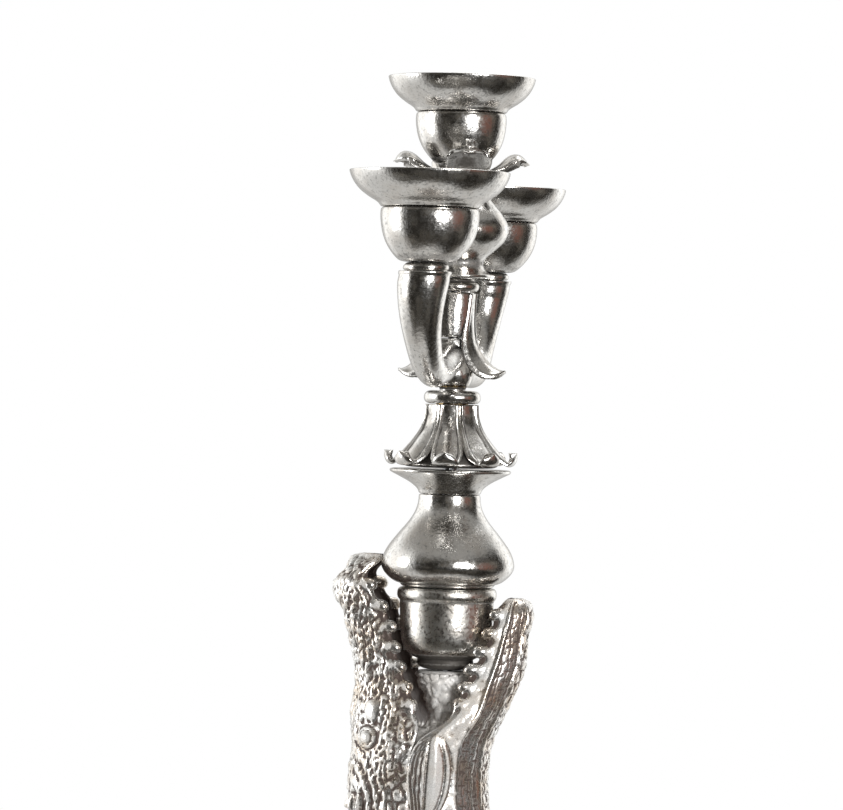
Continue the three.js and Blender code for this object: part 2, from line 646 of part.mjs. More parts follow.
place("stem_rod", rod(LOWER_ROD, 257, 437.6), MATERIALS.steel);
place("stem_rod_nut", hexNut(7.5, 6, LOWER_ROD + GAP), MATERIALS.steel, [0, 0, 257.6]);
place("urn", urn(), MATERIALS.plate, [0, 0, URN_Z]);
place("bulb", bulb(), MATERIALS.plate, [0, 0, BULB_Z]);
place("dish", dish(), MATERIALS.plate, [0, 0, DISH_Z]);
place("petal_skirt", petalSkirt(), MATERIALS.plate, [0, 0, SKIRT_Z]);
place("socket_nut", hexNut(7.5, 6, LOWER_ROD + GAP), MATERIALS.steel, [0, 0, 431.4]);
place("bead_ring", beadRing(), MATERIALS.plate, [0, 0, BEAD_Z]);
place("socket_sleeve", socketSleeve(), MATERIALS.brass, [0, 0, SLEEVE_Z]);

place("branch_hub", hub(), MATERIALS.plate, [0, 0, HUB_Z]);
place("leaf_column", column(), MATERIALS.plate);
place("column_cap", columnCap(), MATERIALS.plate, [0, 0, COLUMN_CAP_Z]);
place("vase_knob", knob(), MATERIALS.plate, [0, 0, KNOB_Z]);
place("leaf_collar", leafCollar(), MATERIALS.plate);
place("branch_rod", rod(UPPER_ROD, 470, 579.4), MATERIALS.steel);
place("center_nut", hexNut(5.7, 3, UPPER_ROD + GAP), MATERIALS.steel, [0, 0, CENTER_CUP_Z + 3.3]);
for (const [name, side] of Object.entries(SIDES)) {
  place(`arm_${name}`, arm(side), MATERIALS.plate);
  place(`arm_ring_${name}`, armRing(), MATERIALS.plate, [0, ARM_REACH * side, ARM_RING_Z]);
  place(`cup_screw_${name}`, cupScrew(), MATERIALS.steel, [0, ARM_REACH * side, SIDE_CUP_Z]);
}
const CUP_PLACES = { center: [0, CENTER_CUP_Z], right: [-ARM_REACH, SIDE_CUP_Z], left: [ARM_REACH, SIDE_CUP_Z] };
for (const [name, [y, z]] of Object.entries(CUP_PLACES)) {
  const scale = name === "center" ? CENTER_SCALE : 1;
  place(`cup_${name}`, cup(scale), MATERIALS.plate, [0, y, z]);
  place(`nozzle_${name}`, nozzle(scale), MATERIALS.plate, [0, y, z + CUP_HEIGHT + GAP]);
}

export default candelabrum;
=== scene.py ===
"""The looks of a silver candelabrum held in a crocodile's jaws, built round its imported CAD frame.

Shapes are worked out in millimetres in the frame's own axes, +X to the crocodile's belly and +Z
up the stem, and are stored in metres. Each piece takes its place from the CAD node it stands for.
"""

import json
import math

import bpy
import numpy as np
from mathutils import Matrix, Vector


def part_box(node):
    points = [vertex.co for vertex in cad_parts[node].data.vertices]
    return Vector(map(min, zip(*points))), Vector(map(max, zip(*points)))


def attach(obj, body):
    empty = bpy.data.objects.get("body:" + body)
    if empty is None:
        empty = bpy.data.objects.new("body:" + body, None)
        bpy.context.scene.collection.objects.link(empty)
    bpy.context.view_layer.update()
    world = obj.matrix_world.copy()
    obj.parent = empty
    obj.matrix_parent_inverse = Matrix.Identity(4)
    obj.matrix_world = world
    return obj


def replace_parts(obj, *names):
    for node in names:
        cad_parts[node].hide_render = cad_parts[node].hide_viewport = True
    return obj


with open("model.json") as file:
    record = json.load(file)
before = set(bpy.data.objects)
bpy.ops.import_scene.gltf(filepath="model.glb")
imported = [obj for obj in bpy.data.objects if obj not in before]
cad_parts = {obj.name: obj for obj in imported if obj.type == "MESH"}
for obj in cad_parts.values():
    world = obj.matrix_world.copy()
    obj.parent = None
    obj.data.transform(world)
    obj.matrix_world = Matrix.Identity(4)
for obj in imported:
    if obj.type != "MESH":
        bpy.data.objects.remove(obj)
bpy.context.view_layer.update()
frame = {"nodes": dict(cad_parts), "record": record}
MM = 0.001
SIDES = {"right": -1, "left": 1}  # the crocodile's right side lies along -Y


# ---- places, read from the frame ----
def low(node):
    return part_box(node)[0].z / MM


def high(node):
    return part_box(node)[1].z / MM


def middle(node):
    lowest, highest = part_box(node)
    return (lowest.x + highest.x) / 2 / MM, (lowest.y + highest.y) / 2 / MM


# ---- smooth curves and noise ----
def hermite(rows):
    """A smooth curve through rows of [key, a, b, ...]. It takes keys, and gives one array per column."""
    rows = np.array(rows, float)
    keys, values = rows[:, 0], rows[:, 1:]
    slopes = np.gradient(values, keys, axis=0)

    def read(at):
        at = np.clip(np.atleast_1d(np.asarray(at, float)), keys[0], keys[-1])
        i = np.clip(np.searchsorted(keys, at, side="right") - 1, 0, len(keys) - 2)
        span = keys[i + 1] - keys[i]
        t = ((at - keys[i]) / span)[:, None]
        m0, m1 = slopes[i] * span[:, None], slopes[i + 1] * span[:, None]
        rise = values[i + 1] - values[i]
        out = values[i] + t * (m0 + t * (3 * rise - 2 * m0 - m1 + t * (m0 + m1 - 2 * rise)))
        return out.T

    return read


def spline(points, step):
    """Points about a step apart on a Catmull-Rom curve through the given points."""
    p = np.array(points, float)
    if len(p) == 2:
        count = max(int(np.linalg.norm(p[1] - p[0]) / step), 1)
        return p[0] + (p[1] - p[0]) * np.linspace(0, 1, count + 1)[:, None]
    ends = np.vstack([2 * p[0] - p[1], p, 2 * p[-1] - p[-2]])
    pieces = []
    for a, b, c, d in zip(ends, ends[1:], ends[2:], ends[3:]):
        count = max(int(np.linalg.norm(c - b) / step), 1)
        t = np.linspace(0, 1, count, endpoint=False)[:, None]
        square, cube = 2 * a - 5 * b + 4 * c - d, 3 * b - a - 3 * c + d
        pieces.append(0.5 * (2 * b + (c - a) * t + square * t**2 + cube * t**3))
    return np.vstack([*pieces, p[-1:]])


def ramp(x, start, end):
    """0 before start, 1 after end, smooth between."""
    t = np.clip((x - start) / (end - start), 0, 1)
    return t * t * (3 - 2 * t)


def hashed(ix, iy, iz, salt):
    """The same number from 0 to 1 for the same cell each time."""
    h = (ix * 374761393 + iy * 668265263 + iz * 1442695041 + salt * 974634777) & 0xFFFFFFFF
    h = ((h ^ (h >> 13)) * 1274126177) & 0xFFFFFFFF
    return ((h ^ (h >> 16)) & 0xFFFF) / 65535.0


def soft_noise(p, size, salt=0):
    """Smooth noise from -1 to 1 with lumps about a size across, in mm."""
    q = p / size
    cell = np.floor(q).astype(np.int64)
    f = q - cell
    f = f * f * (3 - 2 * f)
    total = np.zeros(len(p))
    for corner in range(8):
        dx, dy, dz = corner & 1, corner >> 1 & 1, corner >> 2
        weight = np.ones(len(p))
        for k, d in enumerate((dx, dy, dz)):
            weight = weight * (f[:, k] if d else 1 - f[:, k])
        total += weight * hashed(cell[:, 0] + dx, cell[:, 1] + dy, cell[:, 2] + dz, salt)
    return total * 2 - 1


def rough_noise(p, size, salt=0):
    """Soft noise in three sizes."""
    return sum(soft_noise(p, size / 2**k, salt + k) / 2**k for k in range(3)) / 1.6


GROOVE_WIDTH = 0.38  # as a part of a scale


def pebbles(p, size, salt=0):
    """Rounded scales: 1 at a scale's middle, 0 in the grooves between scales."""
    q = p / size
    cell = np.floor(q).astype(np.int64)
    nearest = np.full(len(p), 9.0)
    second = np.full(len(p), 9.0)
    for dx in (-1, 0, 1):
        for dy in (-1, 0, 1):
            for dz in (-1, 0, 1):
                c = cell + (dx, dy, dz)
                jitter = [0.15 + 0.7 * hashed(c[:, 0], c[:, 1], c[:, 2], salt + k) for k in range(3)]
                away = np.linalg.norm(c + np.stack(jitter, 1) - q, axis=1)
                second = np.minimum(second, np.maximum(nearest, away))
                nearest = np.minimum(nearest, away)
    return ramp(second - nearest, 0.0, GROOVE_WIDTH)


# ---- meshes: a solid is its points, with an array of four-sided and an array of three-sided faces ----
NO_TRIANGLES = np.zeros((0, 3), np.int64)


def mesh_object(name, vertices, quads, triangles=NO_TRIANGLES):
    mesh = bpy.data.meshes.new(name)
    corners = np.concatenate([quads.ravel(), triangles.ravel()]).astype(np.int32)
    totals = np.concatenate([np.full(len(quads), 4), np.full(len(triangles), 3)]).astype(np.int32)
    starts = np.concatenate([[0], np.cumsum(totals)[:-1]]).astype(np.int32)
    mesh.vertices.add(len(vertices))
    mesh.vertices.foreach_set("co", (np.asarray(vertices, float) * MM).ravel().astype(np.float32))
    mesh.loops.add(len(corners))
    mesh.loops.foreach_set("vertex_index", corners)
    mesh.polygons.add(len(totals))
    mesh.polygons.foreach_set("loop_start", starts)
    mesh.update(calc_edges=True)
    mesh.validate()
    mesh.polygons.foreach_set("use_smooth", [True] * len(mesh.polygons))
    piece = bpy.data.objects.new(name, mesh)
    bpy.context.scene.collection.objects.link(piece)
    return piece


def turn_outward(vertices, quads, triangles=NO_TRIANGLES):
    """Turns all faces over if they enclose a negative volume."""
    halves = np.vstack([quads[:, [0, 1, 2]], quads[:, [0, 2, 3]], triangles])
    a, b, c = (vertices[halves[:, k]] for k in range(3))
    if (a * np.cross(b, c)).sum() > 0:
        return vertices, quads, triangles
    return vertices, quads[:, ::-1], triangles[:, ::-1]


def grid_quads(rows, columns, wrap_rows, wrap_columns, first=0):
    r = np.arange(rows if wrap_rows else rows - 1)[:, None]
    c = np.arange(columns if wrap_columns else columns - 1)[None, :]
    r2, c2 = (r + 1) % rows, (c + 1) % columns
    corners = [r * columns + c, r * columns + c2, r2 * columns + c2, r2 * columns + c]
    return np.stack([np.broadcast_to(k, (r.size, c.size)).ravel() + first for k in corners], 1)


def tube(grid, wrap_rows=False):
    """A solid of rings of points, either joined end to end or closed on a point at each end."""
    rows, columns = grid.shape[:2]
    vertices, quads = grid.reshape(-1, 3), grid_quads(rows, columns, wrap_rows, True)
    if wrap_rows:
        return turn_outward(vertices, quads)
    here = np.arange(columns)
    beyond = (here + 1) % columns
    start, end = rows * columns, rows * columns + 1
    last = (rows - 1) * columns
    triangles = np.vstack([
        np.stack([beyond, here, np.full(columns, start)], 1),
        np.stack([last + here, last + beyond, np.full(columns, end)], 1),
    ])
    return turn_outward(np.vstack([vertices, grid[0].mean(0), grid[-1].mean(0)]), quads, triangles)


def sheet(outer, inner):
    """A closed thick sheet between two grids of points."""
    rows, columns = outer.shape[:2]
    half = rows * columns
    index = np.arange(half).reshape(rows, columns)
    edge = np.concatenate([index[0, :-1], index[:-1, -1], index[-1, :0:-1], index[:0:-1, 0]])
    after = np.roll(edge, -1)
    quads = np.vstack([
        grid_quads(rows, columns, False, False), grid_quads(rows, columns, False, False, half)[:, ::-1],
        np.stack([after, edge, edge + half, after + half], 1),
    ])
    return turn_outward(np.vstack([outer.reshape(-1, 3), inner.reshape(-1, 3)]), quads)


def together(*solids):
    """Several closed solids as one."""
    counts = np.cumsum([0] + [len(solid[0]) for solid in solids])
    return (
        np.vstack([solid[0] for solid in solids]),
        np.vstack([solid[1] + n for solid, n in zip(solids, counts)]),
        np.vstack([solid[2] + n for solid, n in zip(solids, counts)]),
    )


def grid_normals(grid, wrap_columns=True):
    """Unit normals of a grid of points, to raise relief along."""
    along = np.gradient(grid, axis=0)
    if wrap_columns:
        across = (np.roll(grid, -1, 1) - np.roll(grid, 1, 1)) / 2
    else:
        across = np.gradient(grid, axis=1)
    n = np.cross(across, along)
    return n / np.maximum(np.linalg.norm(n, axis=2, keepdims=True), 1e-9)


def relaxed(points, edges, count):
    """Moves each point most of the way to the mean of its neighbours."""
    a, b = edges
    n = len(points)
    sums = [np.bincount(a, points[b, k], n) + np.bincount(b, points[a, k], n) for k in range(3)]
    return 0.4 * points + 0.6 * (np.stack(sums, 1) / count[:, None])


def mesh_edges(mesh):
    """The two ends of each edge, and how many neighbours each point has."""
    edges = np.empty(len(mesh.edges) * 2, np.int32)
    mesh.edges.foreach_get("vertices", edges)
    a, b = edges.reshape(-1, 2).T
    n = len(mesh.vertices)
    return (a, b), np.maximum(np.bincount(a, minlength=n) + np.bincount(b, minlength=n), 1)


def mesh_points(mesh):
    points = np.empty(len(mesh.vertices) * 3)
    mesh.vertices.foreach_get("co", points)
    return points.reshape(-1, 3) / MM


CLOSE_PASSES = 4  # rounds of smoothing that find a fine hollow


def mark_recesses(piece, passes, depth, painted_shade_and_tarnish=None):
    """Stores how deep each point lies below its surroundings, for the patina and the hide's pale crests: 1 in
    a hollow, -1 on an edge.

    It compares the mesh with a smoothed copy, for fine hollows and for broad ones. Depth is how deep a full
    hollow is, and painted_shade_and_tarnish adds darkening by place: painted shade on some pieces, patina on
    others."""
    mesh = piece.data
    points = mesh_points(mesh)
    edges, count = mesh_edges(mesh)
    normals = np.empty(len(points) * 3)
    mesh.vertices.foreach_get("normal", normals)
    facing_out = normals.reshape(-1, 3)
    soft = points.copy()
    for step in range(passes):
        soft = relaxed(soft, edges, count)
        if step == CLOSE_PASSES - 1:
            close = ((soft - points) * facing_out).sum(1) / (depth * 0.4)
    broad = ((soft - points) * facing_out).sum(1) / depth
    value = 0.6 * broad + 0.6 * close
    # darkening added by place: painted shade on some pieces, even patina on others, a painted highlight where
    # negative
    if painted_shade_and_tarnish is not None:
        value = value + painted_shade_and_tarnish(points)
    layer = mesh.attributes.new("recess_and_painted_light", "FLOAT", "POINT")
    layer.data.foreach_set("value", np.clip(value, -1, 1).astype(np.float32))


# ---- materials ----
class Tree:
    """A node tree, with short ways to add the nodes that these finishes use."""

    def __init__(self, owner):
        owner.use_nodes = True
        self.nodes, self.links = owner.node_tree.nodes, owner.node_tree.links

    def feed(self, socket, value):
        """Links another node's output to a socket, or sets it to a number, a direction or a colour."""
        if isinstance(value, bpy.types.NodeSocket):
            self.links.new(value, socket)
        elif socket.type == "RGBA":
            socket.default_value = (*value, 1)
        else:
            socket.default_value = value

    def add(self, kind, **settings):
        """Adds a node. Each setting is one of its properties, or else an input by name."""
        node = self.nodes.new("ShaderNode" + kind)
        for key, value in settings.items():
            if hasattr(node, key):
                setattr(node, key, value)
            else:
                self.feed(node.inputs[key.replace("_", " ")], value)
        return node

    def noise(self, place, **settings):
        return self.add("TexNoise", Vector=place, **settings).outputs["Fac"]

    def mapped(self, source, low_in, high_in, low_out=0.0, high_out=1.0):
        node = self.add("MapRange", interpolation_type="SMOOTHSTEP", Value=source, From_Min=low_in,
                        From_Max=high_in, To_Min=low_out, To_Max=high_out)
        return node.outputs["Result"]

    def math(self, operation, *values):
        node = self.add("Math", operation=operation)
        for socket, value in zip(node.inputs, values):
            self.feed(socket, value)
        return node.outputs[0]

    def mix(self, first, second, factor):
        """A colour that goes from the first to the second."""
        return self.add("Mix", data_type="RGBA", A=first, B=second, Factor=factor).outputs["Result"]

    def mix_shaders(self, first, second, factor):
        node = self.add("MixShader")
        for socket, value in zip(node.inputs, (factor, first, second)):
            self.feed(socket, value)
        return node.outputs[0]

    def bump(self, height, strength, distance, **others):
        node = self.add("Bump", Height=height, Strength=strength, Distance=distance, **others)
        return node.outputs["Normal"]


def new_finish(name):
    """A material with its tree, its shader's inputs and the object's own coordinates."""
    material = bpy.data.materials.new(name)
    tree = Tree(material)
    return material, tree, tree.nodes["Principled BSDF"].inputs, tree.add("TexCoord").outputs["Object"]


PALE_SILVER = (0.90, 0.89, 0.87)  # pale silver: on the hide's crests partly wear and partly painted highlight; also the tongue's matte tone


def silver(name, bright, tarnish_and_shade_tone, roughness, grain, darkening_from, darkening_to, metal=1.0, warmth=0.0,
           wear_and_highlight=0.0):
    """Old silver plate: worn bright on its edges, darkened with patina in its hollows, finely pitted by its
    casting.

    The darkening, patina together with the painted shade that some pieces add by place, runs from none to
    full between two depths. Warmth browns the plate in clouds, and wear_and_highlight is how pale its crests
    are painted: partly worn silver, partly painted highlight."""
    material, tree, shader, place = new_finish(name)
    cloud = tree.noise(place, Scale=70.0, Detail=5.0, Roughness=0.6)
    speckle = tree.noise(place, Scale=620.0, Detail=4.0, Roughness=0.62)
    pits = tree.noise(place, Scale=720.0, Detail=1.5, Roughness=0.5)
    waves = tree.noise(place, Scale=95.0, Detail=3.0, Roughness=0.6)
    recess_and_painted_light = tree.add("Attribute", attribute_name="recess_and_painted_light").outputs["Fac"]
    broken, clouded = (tree.math("MULTIPLY_ADD", noise, 0.5, -0.25) for noise in (speckle, cloud))
    depth = tree.math("ADD", tree.math("ADD", recess_and_painted_light, broken), clouded)
    # patina in the hollows, together with painted shade where a piece adds it by place
    tarnish_and_shade = tree.mapped(depth, darkening_from, darkening_to)
    # painted highlight, partly wear: crests that stand out of the hide turn pale and less metallic
    worn_and_highlit = tree.mapped(tree.math("SUBTRACT", recess_and_painted_light, broken), -0.35, -0.95, 0.0, wear_and_highlight)
    aged = tuple(c * (0.86 - warmth * k) for k, c in enumerate(bright))
    worn = tuple(0.45 * c for c in bright)
    colour = tree.mix(bright, aged, tree.mapped(cloud, 0.35, 0.7))
    colour = tree.mix(colour, worn, tree.mapped(speckle, 0.50, 0.72, 0.0, 0.85))
    colour = tree.mix(colour, tarnish_and_shade_tone, tarnish_and_shade)
    tree.feed(shader["Base Color"], tree.mix(colour, PALE_SILVER, worn_and_highlit))
    spread = tree.mapped(speckle, 0.3, 0.75, roughness * 0.75, roughness * 1.45)
    tree.feed(shader["Roughness"], tree.math("MULTIPLY_ADD", tarnish_and_shade, 0.22, spread))
    polish = tree.mapped(tarnish_and_shade, 0.0, 1.0, metal, metal * 0.35)
    tree.feed(shader["Metallic"], tree.math("SUBTRACT", polish, worn_and_highlit))
    shader["Specular IOR Level"].default_value = 0.25
    wavy = tree.bump(waves, 0.3, 0.0006)
    tree.feed(shader["Normal"], tree.bump(pits, grain, 0.0002, Normal=wavy))
    return material


def machined(name, colour, roughness):
    """Turned steel or brass: fine tool rings, with a little oil stain."""
    material, tree, shader, place = new_finish(name)
    along_axis = tree.add("Mapping", Vector=place, Scale=(300, 300, 4200)).outputs["Vector"]
    rings = tree.noise(along_axis, Scale=1.0, Detail=2.0)
    stain = tree.noise(place, Scale=180.0, Detail=4.0)
    oiled = tuple(0.55 * c for c in colour)
    tree.feed(shader["Base Color"], tree.mix(colour, oiled, tree.mapped(stain, 0.45, 0.75, 0.0, 0.8)))
    tree.feed(shader["Roughness"], tree.mapped(rings, 0.3, 0.7, roughness * 0.8, roughness * 1.3))
    shader["Metallic"].default_value = 1.0
    tree.feed(shader["Normal"], tree.bump(rings, 0.2, 0.0001))
    return material


def baize(name):
    """Dark green felt: matted fibres with lint."""
    material, tree, shader, place = new_finish(name)
    fibres = tree.noise(place, Scale=2600.0, Detail=6.0, Roughness=0.7, Distortion=1.5)
    patches = tree.noise(place, Scale=120.0, Detail=3.0)
    matting = tree.mapped(tree.math("MULTIPLY", fibres, patches), 0.12, 0.42)
    tone = tree.add("ValToRGB", Fac=matting)
    tone.color_ramp.elements[0].color = (0.006, 0.016, 0.010, 1)
    tone.color_ramp.elements[1].color = (0.030, 0.062, 0.042, 1)
    tree.feed(shader["Base Color"], tone.outputs["Color"])
    shader["Roughness"].default_value = 0.95
    shader["Sheen Weight"].default_value = 0.3
    tree.feed(shader["Normal"], tree.bump(fibres, 0.6, 0.0003))
    return material


# dark patina, also the colour of the painted shade at the urn's foot, the cups' bottoms, the petal bell and
# the collar
DARK_TARNISH_AND_SHADE = (0.085, 0.078, 0.07)
PLATE = silver("antique_plate", (0.70, 0.69, 0.67), DARK_TARNISH_AND_SHADE, 0.21, 0.4, 0.12, 0.75, warmth=0.03)
# the hide's crests are painted pale, partly wear and partly painted highlight
HIDE = silver("cast_hide", (0.72, 0.715, 0.70), (0.105, 0.080, 0.070), 0.25, 0.5, 0.04, 0.62, metal=0.94,
              warmth=0.13, wear_and_highlight=0.52)
SATIN = silver("satin_plate", (0.74, 0.73, 0.70), DARK_TARNISH_AND_SHADE, 0.30, 0.4, 0.12, 0.75, warmth=0.05)
RAW_CAST = silver("raw_cast", PALE_SILVER, (0.10, 0.09, 0.08), 0.45, 0.6, 0.3, 1.0, metal=0.2, warmth=0.03)
STEEL = machined("turned_steel", (0.48, 0.49, 0.50), 0.32)
BRASS = machined("aged_brass", (0.30, 0.22, 0.11), 0.30)
FELT = baize("green_baize")
SLOT_FINISH = {"silver_plate": PLATE, "cast_silver": HIDE, "steel": STEEL, "brass": BRASS, "felt": FELT}
OWN_FINISH = {"urn": SATIN, "tongue": RAW_CAST}
SLOT_OF = {s["node"]: s["material_slot"] for s in frame["record"]["subparts"]}
BODY_OF = {node: body for body, nodes in frame["record"]["behaviour"]["bodies"].items() for node in nodes}


def finish_of(node):
    return OWN_FINISH.get(node, SLOT_FINISH[SLOT_OF[node]])


def finish_inner_parts(*nodes):
    """CAD nodes inside the object keep their own solids, with their metal's finish."""
    for node in nodes:
        piece = frame["nodes"][node]
        piece.data.materials.clear()
        piece.data.materials.append(finish_of(node))


LEANING = ("branches", "pan_center", "pan_right", "pan_left")
# How far the branches stand to one side at each height. The spigot, below 463 mm, is true to its socket.
LEAN = hermite([
    [440, 0], [458, 0], [463, 0], [474, -0.9], [486, -1.4], [498, -1.2], [512, 0], [522, 1.5], [532, 2.2],
    [560, 2.0], [590, 0.8], [620, 0.6],
])


def add_detail(name, solid, node, marks, painted_shade_and_tarnish=None):
    """Makes a piece that rides with a CAD node and has its finish, beside whatever stands for that node."""
    piece = mesh_object(name, *solid)
    mark_recesses(piece, *marks, painted_shade_and_tarnish)
    piece.data.materials.append(finish_of(node))
    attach(piece, BODY_OF[node])
    return piece


def add_piece(name, solid, node, marks=(14, 0.35), painted_shade_and_tarnish=None):
    """Makes a piece that stands for a CAD node.

    The branches and what they carry were fitted by hand, and stand a little out of true."""
    vertices, *faces = solid
    if BODY_OF[node] in LEANING:
        vertices = vertices.copy()
        vertices[:, 0] += LEAN(vertices[:, 2])[0]
    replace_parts(add_detail(name, (vertices, *faces), node, marks, painted_shade_and_tarnish), node)


# ---- turned pieces ----
TURN_STEP = 0.55
TURN_SIDES = 144
ROD = 4.2  # the bore for the stem's rod
THIN_ROD = 3.2  # the bore for the branches' rod
SLEEVE_BORE = 8.7


def chained(start, *strokes):
    """A line of [radius, height] points, smooth within a stroke, with soft corners between strokes.

    Each stroke goes on from the end of the one before."""
    line = [np.array(start, float)]
    for stroke in strokes:
        line.extend(spline([line[-1], *stroke], TURN_STEP)[1:])
    line = np.array(line)
    keep = np.concatenate([[True], np.linalg.norm(np.diff(line, axis=0), axis=1) > 1e-6])
    return line[keep]


def outline(bore, *strokes):
    """A chained line, whose flat ends join the first and the last of its strokes to the bore."""
    return chained([bore, strokes[0][0][1]], *strokes, [[bore, strokes[-1][-1][1]]])


def turned(line, bore, centre=(0, 0), base=0.0, wobble=0.05):
    """Turns a line about the stem's direction and closes it on its bore. Hand finishing leaves a wobble."""
    x, y = centre
    if bore > 0:
        wall = spline([[bore, line[-1][1]], [bore, line[0][1]]], 3.0)
        line = np.vstack([line, wall])
    for _ in range(2):
        line[1:-1] = 0.25 * line[:-2] + 0.5 * line[1:-1] + 0.25 * line[2:]
    grid = ring_grid(line, TURN_SIDES)
    flat = grid.reshape(-1, 3)
    uneven = soft_noise(flat + (x, y, base), 11.0, 5).reshape(grid.shape[:2])
    radius = line[:, :1]
    grid[:, :, :2] *= (1 - wobble * (1 - uneven) / 2 / np.maximum(radius, 4.0))[:, :, None]
    grid += (x, y, base)
    return tube(grid, wrap_rows=True) if bore > 0 else tube(grid[1:-1])


def ring_grid(line, sides):
    """A ring of points for each [radius, height] of a line."""
    angle = np.linspace(0, 2 * math.pi, sides, endpoint=False)
    r, z = line[:, :1], line[:, 1:]
    return np.stack([r * np.cos(angle), r * np.sin(angle), np.broadcast_to(z, (len(line), sides))], 2)


def add_turned(name, node, bore, *strokes, centre=(0, 0), wobble=0.05, painted_shade_and_tarnish=None):
    """A turned piece, with its heights measured from the foot of its CAD node."""
    add_piece(name, turned(outline(bore, *strokes), bore, centre, low(node), wobble), node, painted_shade_and_tarnish=painted_shade_and_tarnish)


def make_urn():
    foot = low("urn")
    add_turned(
        "urn_bowl", "urn", ROD,
        [[10.2, 0]],
        [[12.6, 0.9], [14.0, 2.4], [14.2, 3.6], [13.6, 4.8]],
        [[16.8, 6.4], [19.9, 9.2], [22.0, 13.4], [22.9, 19], [23.3, 27], [23.5, 34.4]],
        [[24.3, 34.8], [24.9, 36.0], [25.0, 37.6], [24.6, 39.6], [23.8, 40.4]],
        [[20, 40.9], [ROD, 40.9]],
        # painted shade: the urn darkens over its lowest 10 mm, down between the jaws
        painted_shade_and_tarnish=lambda p: 1.6 * (1 - ramp(p[:, 2] - foot, 4.5, 10)),
    )


def make_bulb():
    add_turned(
        "stem_bulb", "bulb", ROD,
        [[23.3, 0]],
        [[23.5, 1.4]],
        [[25.4, 1.7], [27.4, 2.7], [29.6, 4.4], [31.7, 6.6], [33.0, 9.0], [33.3, 11], [32.6, 14.6],
         [30.2, 19.6],
         [25.4, 26], [20.3, 32.2], [17.3, 37], [15.8, 41.5], [15.4, 46]],
    )


def make_dish():
    add_turned(
        "stem_dish", "dish", ROD,
        [[15.4, 0]],
        [[16.6, 2.6], [20.4, 5.6], [25.6, 8.4], [29.6, 10.4]],
        [[30.6, 10.8], [30.8, 11.5], [30.2, 12.2], [28.6, 12.4], [24, 12.1], [16, 12.0], [ROD, 12.0]],
    )


def make_bead_ring():
    add_turned(
        "socket_bead", "bead_ring", SLEEVE_BORE,
        [[12.2, 0]],
        [[13.5, 0.7], [14.25, 2.2], [14.3, 3.6], [13.7, 5.2], [12.3, 6.3], [10.8, 6.6]],
    )


def make_knob():
    add_turned(
        "vase_knop", "vase_knob", THIN_ROD,
        [[17.1, 0]],
        [[17.5, 0.7], [17.2, 1.5], [15.6, 2.4], [13.4, 4.3], [11.9, 7], [12.9, 10], [17.2, 14], [21.6, 18.5],
         [23.4, 23.3], [22.8, 28], [20, 33], [16, 37.6], [12.4, 42], [10.2, 46], [9.6, 50]],
    )


def make_column_cap():
    add_turned(
        "column_collar", "column_cap", THIN_ROD,
        [[10.9, 0]],
        [[11.7, 0.6], [12.0, 1.8], [11.9, 3.2], [11.2, 4.2]],
        [[9.4, 4.5], [8.8, 5.4], [8.9, 6.5]],
    )


def make_hub():
    add_turned(
        "branch_boss", "branch_hub", 0,
        [[5.6, 0]],
        [[6.5, 1.0]],
        [[6.5, 20.6]],
        [[7.7, 21.2], [9.2, 23.4], [10.2, 27.0], [10.3, 31]],
        [[10.3, 40], [9.6, 45.2]],
        [[0, 45.3]],
        wobble=0.0,
    )


CENTRE_SCALE = 0.95  # the middle cup and its pan are a little narrower than the side ones
SOCKET_REACH = 14  # but inside this radius, round the socket, all three are alike


def narrowed(node, *strokes):
    scale = CENTRE_SCALE if node.endswith("center") else 1.0
    return [[[r * scale if r > SOCKET_REACH else r, z] for r, z in stroke] for stroke in strokes]


def make_cup(node):
    foot = low(node)
    strokes = narrowed(
        node,
        [[11.4, 0]],
        [[13.4, 0.5], [15.3, 1.9], [18.1, 4.9], [20.8, 9.0], [22.7, 13.8], [23.7, 19], [23.9, 23],
         [23.6, 25.4]],
        [[23.2, 25.95], [22.2, 26.0], [21.6, 25.4]],
        [[20.8, 17], [18.6, 9.6], [15, 5.2], [9, 3.1]],
        [[THIN_ROD, 3.0]],
    )
    add_turned(f"candle_{node}", node, THIN_ROD, *strokes, centre=middle(node),
               # painted shade: each cup darkens over its lowest 7.5 mm
               painted_shade_and_tarnish=lambda p: 0.75 * (1 - ramp(p[:, 2] - foot, 0.5, 7.5)))


SOCKET_DEPTH = 18.3


def make_nozzle(node):
    """A drip pan with its candle socket. Heights are from the pan's underside."""
    strokes = narrowed(
        node,
        [[12.6, -SOCKET_DEPTH], [13.0, 0.5 - SOCKET_DEPTH]],
        [[13.1, 0]],
        [[15, -0.2], [23.4, -0.2]],
        [[24.1, 0.1], [24.3, 0.8], [25.0, 1.7]],
        [[26.4, 2.7], [29.6, 4.6], [33.4, 7.5], [36.2, 10.8], [38.0, 14.2], [38.9, 17.1]],
        [[38.75, 17.38], [38.3, 17.4], [37.5, 16.6]],
        [[35.2, 12.4], [31.4, 8.2], [26.6, 4.9], [22, 3.3], [17, 2.7], [14.2, 2.6]],
        [[12.6, 2.4]],
        [[11.5, 1.5], [11.25, 0.2]],
        [[11.1, 2 - SOCKET_DEPTH]],
    )
    solid = turned(outline(0, *strokes), 0, middle(node), low(node) + SOCKET_DEPTH)
    add_piece(node.replace("nozzle", "drip_pan"), solid, node)


def make_arm_ring(node):
    add_turned(
        f"{node}_bead", node, THIN_ROD,
        [[9.9, 0]],
        [[10.9, 0.5], [11.2, 1.6], [11.1, 2.5], [10.0, 3.2], [9.6, 3.9]],
        # the whole bead is darkened evenly
        centre=middle(node), painted_shade_and_tarnish=lambda p: np.ones(len(p)),
    )


# ---- petals and leaves ----
LEAF_ROWS, LEAF_COLUMNS = 64, 41


